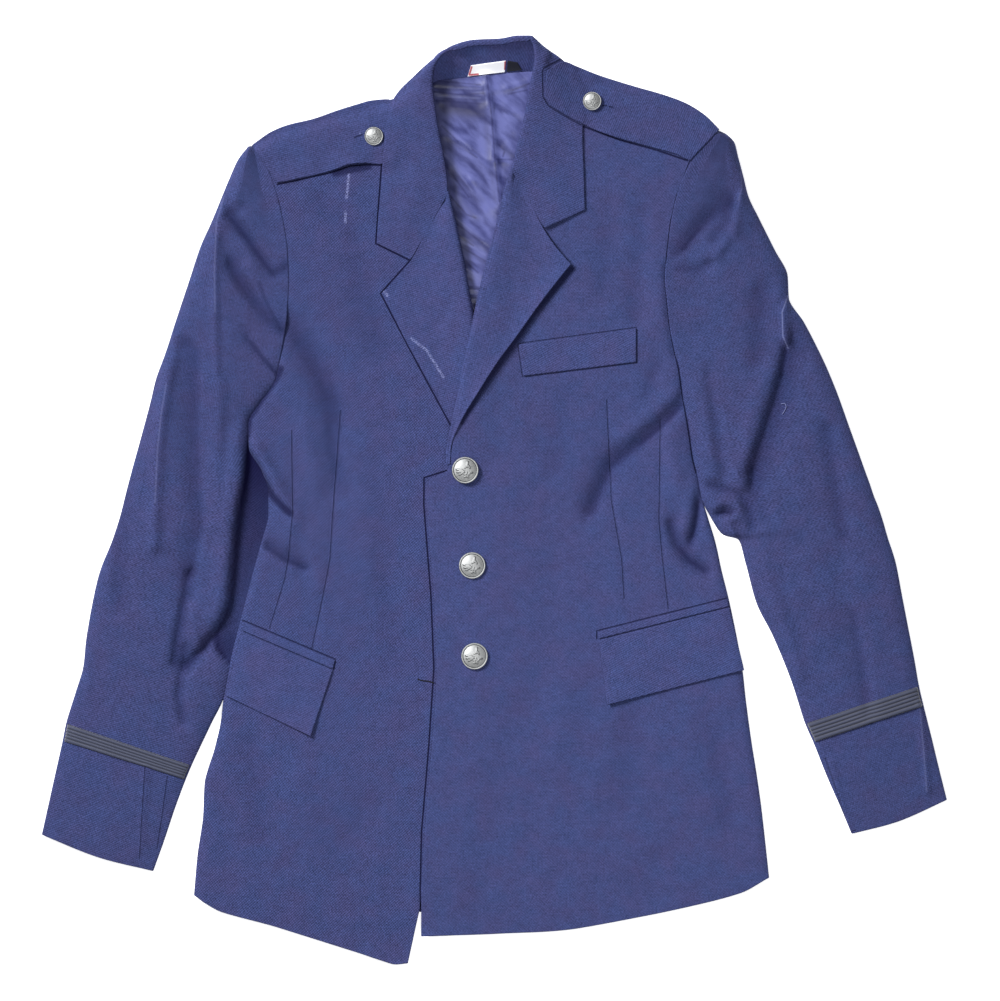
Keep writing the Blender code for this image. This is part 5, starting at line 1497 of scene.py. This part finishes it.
# %% Collar stand
# columns: seam_x, seam_y, seam_z, top_x, top_y, top_z
STAND = [
    (-45.5, 271, 11.5, -43, 271, 13.5), (-50, 290, 12, -46, 292, 15), (-56, 318, 12, -51.5, 318, 18),
    (-60, 338, 10, -55.5, 342, 20), (-58, 353, 6, -57, 364, 19), (-48, 360, 4.2, -53, 378, 22),
    (-33, 362, 3.6, -40.5, 388, 26), (-15, 364, 3.6, -17, 391.2, 28), (5, 366, 3.6, 5, 392.4, 29),
    (20, 367.5, 3.6, 20, 394.8, 29), (31, 369, 4, 35, 396, 29), (40, 365, 6, 39, 382, 27),
    (41, 350, 9, 35.5, 355, 22), (35, 330, 11, 29.5, 331, 18), (28, 309, 11, 24, 309, 15.5),
    (21, 290, 11, 19, 290, 13),
]
STAND_DEPTH, STAND_STEP = 24.0, 2.0  # mm of the stand's height and between its points
STAND_WRINKLE = 1.1
WRINKLE_ROW, WRINKLE_REACH = 6.0, 1.7  # the row where the stand buckles most, and over how many rows
rows = np.array(STAND, float)
at = even_rows(running_length(rows[:, 3:5]), SPACING)
line = read_rows(rows, at)
share = steps(STAND_DEPTH, STAND_STEP) / STAND_DEPTH
middle = line[:, None, :3] + (line[:, 3:] - line[:, :3])[:, None] * share[::-1, None]
wrinkle = np.sin(2 * math.pi * (at[:, None] * 0.9 + share[None, ::-1] * 0.9))
wrinkle = wrinkle * np.exp(-(((at[:, None] - WRINKLE_ROW) / WRINKLE_REACH) ** 2))
wrinkle = wrinkle * np.sin(math.pi * share[None, ::-1])
middle[..., 1:] += STAND_WRINKLE * wrinkle[..., None] * np.array([-0.7, 0.7])
# painted light: the stand much lighter than the rest, where it turns away from the lamp
stand_wool = wool_twill("wool_twill_stand", strength=1.6)
cloth("neck_stand", middle, TRIM, stand_wool, ("collar_stand",))

# %% [markdown]
# ## Shoulder straps
# A strap is sewn into the armhole and buttons near the collar. Its sheet runs between a lower and
# an upper edge and is laid on the shoulder, and its lower edge stands off a little, in waves. The
# right strap's end goes under the collar leaf, so it is made first, and the left one lies over it.

# %% Shoulder straps
# columns: low_x, low_y, top_x, top_y
STRAPS = {
    "right": [
        (-187, 273, -208.5, 305.5), (-176, 275, -191, 317.5), (-162, 278, -177, 323),
        (-141, 283, -156, 328), (-124, 289, -136, 335), (-112, 290, -120, 340), (-100, 289, -105, 344),
        (-90, 289, -92, 345), (-80, 296, -80, 338),
    ],
    "left": [
        (168, 292, 193.5, 319), (155, 298, 181.5, 331), (141, 302, 165, 341.5), (126, 306, 145, 349),
        (108, 311, 124, 355), (90, 317, 104, 361), (75, 324, 86, 367), (60, 332, 71, 373),
        (48, 340, 59, 377), (43, 348, 45, 369),
    ],
}
STRAP_WIDTH = 44.0
STRAP_SAG = 4.5
# A worked buttonhole beside each button, and on the right strap a speck of painted highlight.
STRAP_LINES = {
    "right": {"join_and_shadow": [[(-119.5, 311.8), (-113.5, 313.9)]],
              "rubbed": [[(-115.8, 315.2), (-115.2, 315.5)]]},
    "left": {"join_and_shadow": [[(93.5, 339.4), (96.5, 339.0)], [(99, 338.2), (102, 337.6)]]},
}
STRAP_LIFT = 3.0  # how far the lower edge stands off
STRAP_TURN = {"right": 25, "left": -25}  # degrees that the weave is turned by


def make_strap(side, below):
    """A strap laid on the shoulder: the map's height + lift · wave · (1 − share)³."""
    rows = np.array(STRAPS[side], float)
    middle = (rows[:, :2] + rows[:, 2:]) / 2
    at = even_rows(running_length(middle), SPACING * 0.8)
    line = read_rows(rows, at)
    share = steps(STRAP_WIDTH, SPACING * 0.8) / STRAP_WIDTH
    plan = line[:, None, :2] + (line[:, 2:] - line[:, :2])[:, None] * share[:, None]
    lay = read_map(rest_map(below, 3), plan[..., 0], plan[..., 1])
    lay = np.maximum(lay, lay.max(axis=1, keepdims=True) - STRAP_SAG) + REST_GAP + TRIM / 2
    wave = 0.55 + 0.45 * np.sin(at * 1.7 + 0.6)
    wave = wave * np.sin(math.pi * at / at[-1])
    middle = np.dstack([plan, lay + STRAP_LIFT * wave[:, None] * (1 - share[None, :]) ** 3])
    finish = wool_twill(f"wool_twill_strap_{side}", STRAP_LINES[side], boldness=0.7)
    grain = laid_grain(middle, STRAP_TURN[side])
    cloth(f"epaulette_{side}", middle, TRIM, finish, (f"shoulder_strap_{side}",), grain=grain)


make_strap("right", ["forepart_right"])

# %% [markdown]
# ## Collar leaf
# The leaf turns over the stand and lies on the shoulders, but behind the neck it hangs almost
# straight down. Each row of the table is a line from the roll out to the edge, and its last number
# says how far the row hangs. Two sections, lying and hanging, are mixed by that number.

# %% Collar leaf
# columns: roll_x, roll_y, edge_x, edge_y, hang
LEAF = [
    (-39.6, 264, -101, 221, 0), (-41, 282, -100, 240, 0), (-44, 300, -98, 262, 0),
    (-48, 320, -96, 290, 0), (-51, 340, -94, 314, 0), (-53, 356, -91, 335, 0), (-52, 369, -84, 349, 0),
    (-48, 379, -69, 364, 0), (-41, 387, -52, 380, 0.35), (-32, 391.5, -36, 391, 1),
    (-17, 395, -17, 395.3, 1), (5, 396, 5, 396.5, 1), (20, 398.5, 20, 399, 1),
    (31, 398.5, 35, 398.5, 0.8), (35, 391, 46, 389, 0.3), (35, 380, 58, 379, 0), (33, 368, 67, 371, 0),
    (30, 353, 74, 360, 0), (26, 331, 76, 338, 0), (21, 312, 76, 312, 0), (18, 298, 77, 282, 0),
    (14.6, 284, 78, 250, 0),
]
LEAF_NOTCH = {1: (-71.8, 206.6), -1: (42.8, 233.6)}
NOTCH_FADE = [1.0, 0.6, 0.3, 0.1]
# columns: share of the way out, below the roll, share of the drop, and the same for the hanging back
LEAF_SECTION = [
    (0.00, 2.6, 0.00, -5.2, 1.2, 0.00), (0.02, 0.7, 0.00, -3.8, 0, 0.00), (0.08, 0, 0.00, -1.8, 0, 0.00),
    (0.25, 0, 0.10, -0.3, 1.8, 0.00), (0.50, 0, 0.45, 0, 0, 0.25), (0.75, 0, 0.80, -0.2, 0, 0.62),
    (1.00, 0, 1.00, -1, 0, 1.00),
]
HANG_FOOT = 2.2
LEAF_SAG = 5.0
LEAF_GAP = 0.5  # the extra gap under the leaf
LEAF_WIDTH = 60.0
LEAF_START = [0.0, 0.01, 0.02, 0.035, 0.055]  # close columns round the roll
GORGE_INSET = 3.0  # the lapel's height is read this far inside the seam
GORGE_REACH = 30.0
GORGE_FLAT = 2.0  # up to this far from the seam the leaf is fully level with the lapel


def leaf(below):
    """The leaf from one front corner round to the other: lying · (1 − hang) + hanging · hang."""
    rows = np.array(LEAF, float)
    at = even_rows(running_length(rows[:, :2]), SPACING * 0.9)
    line = read_rows(rows, at)
    roll, edge, hang = line[:, :2], line[:, 2:4], line[:, 4:5]
    share = np.concatenate([LEAF_START, steps(LEAF_WIDTH, SPACING * 0.9, False)[2:] / LEAF_WIDTH])
    columns = np.array(LEAF_SECTION)
    section = smooth_curve(columns[:, 0], columns[:, 1:], share)
    below_roll, drop, hang_out, hang_below, hang_drop = section.T
    plan = roll[:, None] + (edge - roll)[:, None] * share[:, None]
    index = np.arange(len(rows))
    for order, notch in LEAF_NOTCH.items():
        first, corner = rows[::order][0, :2], rows[::order][0, 2:4]
        away = np.array(notch) - (first + corner) / 2
        fade = np.zeros(len(rows))
        fade[:len(NOTCH_FADE)] = NOTCH_FADE
        weight = np.interp(at, index, fade[::order])
        bend = np.interp(share, [0.0, 0.5, 1.0], [0.0, 1.0, 0.0])
        plan = plan + weight[:, None, None] * bend[:, None] * away
    tangent = np.gradient(roll, axis=0)
    outward = np.stack([-tangent[:, 1], tangent[:, 0]], axis=-1)
    outward /= np.maximum(np.linalg.norm(outward, axis=1, keepdims=True), 1e-9)
    hanging = roll[:, None] + outward[:, None] * hang_out[:, None]
    plan = plan * (1 - hang[..., None]) + hanging * hang[..., None]
    x, y = plan[..., 0], plan[..., 1]
    on_right = (at < len(rows) / 2)[:, None]
    crest = np.where(on_right, read_table(ROLL_HEIGHT["right"], roll[:, 1:]),
                     read_table(ROLL_HEIGHT["left"], roll[:, 1:])) - TRIM / 2
    lay = read_map(rest_map(below, 3), x, y) + REST_GAP + LEAF_GAP + TRIM / 2
    steady = np.searchsorted(share, STEADY_SHARE)
    lay[:, :steady] = lay[:, steady:steady + 1]
    lay = np.maximum(lay, lay.max(axis=1, keepdims=True) - LEAF_SAG)
    lying = crest - below_roll - drop * (crest - lay)
    for order, notch in LEAF_NOTCH.items():
        lying = meet_lapel("right" if order == 1 else "left", rows[::order][0, :2], notch, x, y, lying)
    down = crest - hang_below - hang_drop * (crest - HANG_FOOT)
    return np.dstack([x, y, lying * (1 - hang) + down * hang])


def meet_lapel(side, start, notch, x, y, z):
    """Bring the leaf level with the lapel along the gorge seam: z · (1 − weight) + level · weight.

    The weight is 1 at the seam and falls by a smooth step to 0 at GORGE_REACH."""
    run = np.array(notch) - start
    length = np.linalg.norm(run)
    share = np.clip(((x - start[0]) * run[0] + (y - start[1]) * run[1]) / length**2, 0.03, 0.97)
    foot_x, foot_y = start[0] + share * run[0], start[1] + share * run[1]
    away = np.hypot(x - foot_x, y - foot_y)
    level = read_map(rest_map([f"turned_lapel_{side}"], 1), foot_x, foot_y - GORGE_INSET)
    weight = (1 - step((away - GORGE_FLAT) / GORGE_REACH)) * (level > 0)
    return z * (1 - weight) + (level - TRIM / 2) * weight


middle = leaf(["forepart_right", "forepart_left", "epaulette_right", "neck_stand"])
# the left strap's end lies on the leaf, and a painted shadow darkens the cloth along it
STRAP_END = {"join_and_shadow": [[(60, 380), (43, 371), (41.6, 368.5), (42.2, 346.5), (47, 338.8), (60, 330.6),
                       (75, 322.4)]]}
# painted light: the leaf a little lighter than the fronts
leaf_wool = wool_twill("wool_twill_leaf", STRAP_END, boldness=0.9, strength=1.02)
grain = laid_grain(middle, 15)
cloth("collar_leaf", middle, TRIM, leaf_wool, ("collar",), grain=grain)
make_strap("left", ["forepart_left", "collar_leaf"])

# %% [markdown]
# ## Cuff braid
# A ribbed braid goes across the top of each sleeve above the cuff. It is made from the sleeve's own
# surface, moved out, with five ribs across its width: h = rib · |sin(5πv)|. A separate strip laid
# on the sleeve would not follow its folds.

# %% Braid
BRAID_WALL, BRAID_RIB, BRAID_RIBS = 1.0, 0.7, 5
RIB_POINTS = 6  # points across each rib
BRAID_INSET = 6  # columns left bare at each fold of the sleeve


def make_braid(side):
    """A band between two rows of the sleeve: its surface + normal · (gap + rib · |sin(5πv)|)."""
    top, at = sleeve_tops[side]
    first = len(SHARED[side]) + BRAID_ROW[side]
    where = np.linspace(first, first + 1, RIB_POINTS * BRAID_RIBS + 1)
    i = np.clip(np.searchsorted(at, where) - 1, 0, len(at) - 2)
    share = ((where - at[i]) / (at[i + 1] - at[i]))[:, None, None]
    normal, _ = grid_normals(top)
    points = top[i] * (1 - share) + top[i + 1] * share
    normal = normal[i] * (1 - share) + normal[i + 1] * share
    v = np.linspace(0, 1, len(where))
    rib = np.abs(np.sin(BRAID_RIBS * math.pi * v))
    middle = points + normal * (REST_GAP + BRAID_WALL / 2 + BRAID_RIB * rib[:, None, None])
    middle = middle[:, BRAID_INSET:-BRAID_INSET]
    crest = np.broadcast_to(rib[:, None], middle.shape[:2])
    cloth(f"cuff_braid_{side}", middle, BRAID_WALL, braid_silk, (f"sleeve_braid_{side}",), "braid",
          marks={"crest": crest})


for side in ("right", "left"):
    make_braid(side)

# %% [markdown]
# ## Label and hanger loop
# A plain white label and a bit of black hanger tape are sewn inside the stand. Both are small
# four-sided sheets laid on what is below them, as the pocket patches are.

# %% Label and loop
LABEL = [(-23, 364.6), (9, 368.4), (10, 378), (-20, 374)]
LOOP = [(10.6, 368.6), (24, 370), (20, 376.5), (11.6, 378)]
TAB_WALL, TAB_STEP = 1.0, 2.0


def make_tab(name, corners, finish, node, slot, below):
    """A small flat piece between four corners: (a + (b − a)u)(1 − v) + (d + (c − d)u)v."""
    a, b, c, d = (np.array(corner, float) for corner in corners)
    u = steps(np.linalg.norm(b - a), TAB_STEP)[:, None, None] / np.linalg.norm(b - a)
    v = steps(np.linalg.norm(d - a), TAB_STEP)[None, :, None] / np.linalg.norm(d - a)
    plan = (a + (b - a) * u) * (1 - v) + (d + (c - d) * u) * v
    lay = read_map(rest_map(below, 1), plan[..., 0], plan[..., 1]) + REST_GAP + TAB_WALL / 2
    cloth(name, np.dstack([plan, lay]), TAB_WALL, finish, (node,), slot)


make_tab("woven_label", LABEL, label_white, "neck_label", "label", ["neck_stand", "satin_lining"])
make_tab("tape_loop", LOOP, tape_black, "hanger_loop", "tape", ["neck_stand", "satin_lining"])

# %% [markdown]
# ## Buttons
# The buttons are cast: a dome inside a raised rim, with a leafy spray and a flower in relief. A
# button is a turned form, so its surface is a profile carried round a circle. The relief is added
# as a height over the dome, and it also tells the metal's material where the hollows are.

# %% Buttons
FRONT_BUTTONS = [(-25, 26), (-19, -56), (-17, -134)]
STRAP_BUTTONS = {"right": (-103.5, 313), "left": (84, 343)}
TOP_BUTTON, STRAP_BUTTON = 22.9, 15.9
# columns: share of the radius, height as a share of the radius
BUTTON_PROFILE = [(0.0, 0.02), (0.28, 0.02), (0.30, 0.12), (0.86, 0.16), (0.97, 0.20), (1.0, 0.25),
                  (0.99, 0.30), (0.955, 0.335), (0.90, 0.33), (0.86, 0.305), (0.81, 0.32), (0.6, 0.395),
                  (0.4, 0.445), (0.2, 0.475), (0.0, 0.485)]
# columns: x, y, length, width as shares of the radius, and turn in degrees
SPRAY = [(-0.46, 0.02, 0.26, 0.075, 168), (-0.40, -0.13, 0.26, 0.07, 190),
         (-0.30, -0.27, 0.22, 0.065, 212), (-0.16, -0.06, 0.18, 0.06, 150), (0.16, 0.44, 0.26, 0.07, 82),
         (0.04, 0.26, 0.16, 0.06, 52),
         (0.30, 0.24, 0.16, 0.06, 118), (0.44, -0.20, 0.16, 0.05, 10)]
ROSETTE = (0.10, -0.36)
RELIEF = 0.05  # height of the raised work, as a share of the radius
DOME_EDGE, DOME_FADE = 0.86, 0.08  # the raised work ends inside the rim
RIM_GROOVE, GROOVE_WIDTH = 0.855, 0.025
BUTTON_SINK = 0.16  # how deep the shank pulls it into the cloth, as a share of the radius
BACK_ROWS = 8  # the profile's places on the hidden back of the button


def ornament(radius, angle):
    """Relief from 0 on the dome to 1: leaves exp(−(along/length)⁴ − (across/width)²), and a flower.

    The flower's edge is at the radius 0.20 + 0.07 · cos(5 · angle), with a dip in its middle."""
    x, y = radius * np.cos(angle), radius * np.sin(angle)
    total = np.zeros(x.shape)
    for cx, cy, length, width, turn in SPRAY:
        lean = math.radians(turn)
        along = (x - cx) * math.cos(lean) + (y - cy) * math.sin(lean)
        across = -(x - cx) * math.sin(lean) + (y - cy) * math.cos(lean)
        total += np.exp(-((along / length) ** 4) - (across / width) ** 2)
    away, turn = np.hypot(x - ROSETTE[0], y - ROSETTE[1]), np.arctan2(y - ROSETTE[1], x - ROSETTE[0])
    petals = 0.20 + 0.07 * np.cos(5 * turn - math.pi / 2)
    total += step((petals - away) / 0.05 + 0.5) - 0.8 * np.exp(-((away / 0.05) ** 2))
    return step((total - 0.25) / 0.4)


def make_button(name, centre, diameter, below, node):
    """Carry the profile round the circle, (r cos a, r sin a, height), and add the relief."""
    size = diameter / 2
    turns = 96
    profile = np.array(BUTTON_PROFILE)
    fine = np.linspace(0, len(profile) - 1, 140)[1:-1]
    line = read_rows(profile, fine)
    angle = np.arange(turns) * 2 * math.pi / turns
    ring, height = line[:, :1], line[:, 1:]
    in_front = fine[:, None] > BACK_ROWS
    face = step((DOME_EDGE - ring) / DOME_FADE) * in_front
    relief = ornament(ring, angle[None]) * face
    x = centre[0] + size * ring * np.cos(angle)
    y = centre[1] + size * ring * np.sin(angle)
    base = read_map(rest_map(below, 1), x, y).max() - BUTTON_SINK * size + REST_GAP
    z = base + size * (height + RELIEF * relief)
    grid = np.stack([x, y, z], axis=-1)
    foot, peak = base + size * profile[0, 1], base + size * (profile[-1, 1] + RELIEF)
    points = np.concatenate([[[*centre, foot]], grid.reshape(-1, 3), [[*centre, peak]]])
    ids = 1 + np.arange(len(fine) * turns).reshape(len(fine), turns)
    beside = np.roll(ids, -1, axis=1)
    quads = np.stack([ids[:-1], beside[:-1], beside[1:], ids[1:]], axis=-1).reshape(-1, 4)
    low = np.stack([beside[0], ids[0], np.zeros(turns, int)], axis=-1)
    high = np.stack([ids[-1], beside[-1], np.full(turns, len(points) - 1)], axis=-1)
    groove = np.exp(-(((ring - RIM_GROOVE) / GROOVE_WIDTH) ** 2)) * in_front
    hollow = np.concatenate([[0.0], (4 * relief * (1 - relief) + groove).reshape(-1), [0.0]])
    faces = quads.tolist() + low.tolist() + high.tolist()
    mesh_piece(name, points, faces, silver, marks={"hollow": hollow}, replaces=(node,))
    print(f"{name}: {diameter} mm, {len(faces)} faces")


for number, centre in enumerate(FRONT_BUTTONS, start=1):
    make_button(f"silver_button_{number}", centre, TOP_BUTTON, ["forepart_left", "turned_lapel_left"],
                f"front_button_{number}")
for side, centre in STRAP_BUTTONS.items():
    make_button(f"silver_button_{side}", centre, STRAP_BUTTON, [f"epaulette_{side}"], f"strap_button_{side}")

# %% [markdown]
# ## Loose threads
# A loose black stitch shows beside the lower button, and a curl of pale thread clings to the
# sleeve. Each is a round tube along a short line of points: a ring of points is set square to the
# line at each of them.

# %% Loose threads
def thread(name, points, radius, finish):
    """A closed six-sided tube along a smooth line: line + radius · (beside · cos a + above · sin a)."""
    sides, fineness = 6, 8
    rows = np.array(points, float)
    at = np.linspace(0, len(rows) - 1, fineness * len(rows))
    line = read_rows(rows, at)
    tangent = np.gradient(line, axis=0)
    tangent /= np.linalg.norm(tangent, axis=1, keepdims=True)
    beside = np.cross(tangent, [0.0, 0.0, 1.0])
    beside /= np.linalg.norm(beside, axis=1, keepdims=True)
    above = np.cross(beside, tangent)
    angle = np.arange(sides) * 2 * math.pi / sides
    ring = beside[:, None] * np.cos(angle)[:, None] + above[:, None] * np.sin(angle)[:, None]
    points = np.concatenate([(line[:, None] + radius * ring).reshape(-1, 3), line[:1], line[-1:]])
    ids = np.arange(len(line) * sides).reshape(len(line), sides)
    turned = np.roll(ids, -1, axis=1)
    quads = np.stack([ids[:-1], turned[:-1], turned[1:], ids[1:]], axis=-1).reshape(-1, 4)
    start = np.stack([turned[0], ids[0], np.full(sides, len(points) - 2)], axis=-1)
    end = np.stack([ids[-1], turned[-1], np.full(sides, len(points) - 1)], axis=-1)
    mesh_piece(name, points, quads.tolist() + start.tolist() + end.tolist(), finish)
    print(f"{name}: {len(line)} rings")


def spun_thread(name, dark, light):
    """Thread: two shades that wind along it."""
    material, tree, shader = new_finish(name, roughness=0.7, specular=0.2)
    place = object_place(tree)
    paint(tree, shader, mix(tree, noise(tree, place, 1500.0), srgb(*dark), srgb(*light)))
    return material


def on_surface(names, points, above):
    """Give plan points the height of a surface."""
    plan = np.array(points, float)
    return np.column_stack([plan, read_map(rest_map(names, 1), plan[:, 0], plan[:, 1]) + above])


black_thread = spun_thread("black_thread", (10, 10, 14), (34, 34, 44))
pale_thread = spun_thread("pale_thread", (92, 98, 142), (126, 132, 176))
print_on_map("sleeve_left", sleeve_tops["left"][0])
STITCH = [(-66, -153.6), (-62, -155), (-57, -155.5), (-52, -157)]
CURL = [(246.5, 83), (249.5, 83.4), (251, 80.5), (249.5, 77), (247.5, 74)]
thread("loose_stitch", on_surface(["forepart_right"], STITCH, 0.5), 0.55, black_thread)
thread("thread_curl", on_surface(["sleeve_left"], CURL, 0.4), 0.3, pale_thread)

# %% [markdown]
# ## The cut of each piece
# The real coat was cut from flat cloth. For each piece the width, length and area it would have
# had laid flat are printed, all measured on its middle surface. The jettings are too narrow to be
# sheets of their own and count with the front that they are sewn to. Pieces narrower than 10 mm,
# such as the jettings, are left out of the list.

# The backs and the sleeves lie on the table.
NARROWEST = 10  # mm
for name, (across_mm, along_mm, area) in CUTS.items():
    if min(across_mm, along_mm) < NARROWEST:
        continue
    print(f"{name}: flat {across_mm:.0f} x {along_mm:.0f} mm, area {area / 100:.0f} cm2")
print("sheets:", len(CUTS))

# %% [markdown]
# ## Table, light and camera
# A white table, a big soft lamp beyond the right shoulder and an even white sky give the flat
# light of a catalogue picture. A small lamp close above the middle lifts the chest a little. The
# camera looks straight down from far off, so that nothing is foreshortened.

# %% Stage, light and camera
VIEW_CENTRE = (4.9, -0.1)
VIEW_WIDTH = 860.0
CAMERA_HEIGHT = 10000.0
COAT_LEVEL = 10.0
SENSOR = 36.0
TABLE_REACH, TABLE_LEVEL = 6.0, -0.0005

floor_mesh = bpy.data.meshes.new("table_top")
corners = [(x * TABLE_REACH, y * TABLE_REACH, TABLE_LEVEL) for x, y in ((-1, -1), (1, -1), (1, 1), (-1, 1))]
floor_mesh.from_pydata(corners, [], [(0, 1, 2, 3)])
floor = bpy.data.objects.new("table_top", floor_mesh)
bpy.context.scene.collection.objects.link(floor)
floor_finish, _, floor_shader = new_finish("white_table", roughness=0.9)
floor_shader.inputs["Base Color"].default_value = (0.85, 0.85, 0.85, 1.0)
floor_shader.inputs["Emission Color"].default_value = (1.0, 1.0, 1.0, 1.0)
floor_shader.inputs["Emission Strength"].default_value = 0.75
floor_mesh.materials.append(floor_finish)
floor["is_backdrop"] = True


def area_light(name, place, size, watts):
    """A square lamp that points at the coat's middle."""
    light = bpy.data.lights.new(name, "AREA")
    light.energy, light.size = watts, size
    lamp = bpy.data.objects.new(name, light)
    lamp.location = place
    lamp.rotation_euler = (-Vector(place)).to_track_quat("-Z", "Y").to_euler()
    bpy.context.scene.collection.objects.link(lamp)


area_light("key_lamp", (-3.4, 2.9, 4.0), 1.8, 540.0)
area_light("middle_lamp", (0.1, -0.2, 0.9), 0.6, 3.6)
world = bpy.data.worlds.new("white_sky")
world.use_nodes = True
world.node_tree.nodes["Background"].inputs["Color"].default_value = (0.95, 0.97, 1.0, 1.0)
world.node_tree.nodes["Background"].inputs["Strength"].default_value = 0.22
bpy.context.scene.world = world
bpy.context.scene.view_settings.view_transform = "Standard"

camera_data = bpy.data.cameras.new("camera")
camera_data.sensor_fit = "HORIZONTAL"
camera_data.sensor_width = SENSOR
camera_data.lens = SENSOR * CAMERA_HEIGHT / VIEW_WIDTH
camera = bpy.data.objects.new("camera", camera_data)
camera.location = (VIEW_CENTRE[0] * MM, VIEW_CENTRE[1] * MM, (CAMERA_HEIGHT + COAT_LEVEL) * MM)
bpy.context.scene.collection.objects.link(camera)
bpy.context.scene.camera = camera
print("lens:", round(camera_data.lens, 1), "mm, view", VIEW_WIDTH, "mm wide")

# %% [markdown]
# ## Triangles
# The last lines count the triangles of every piece that is shown and name the piece with the most.

# %% Triangles
triangles = {o.name: sum(len(p.vertices) - 2 for p in o.data.polygons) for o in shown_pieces()}
print("triangles:", sum(triangles.values()), "largest:", max(triangles.items(), key=lambda item: item[1]))
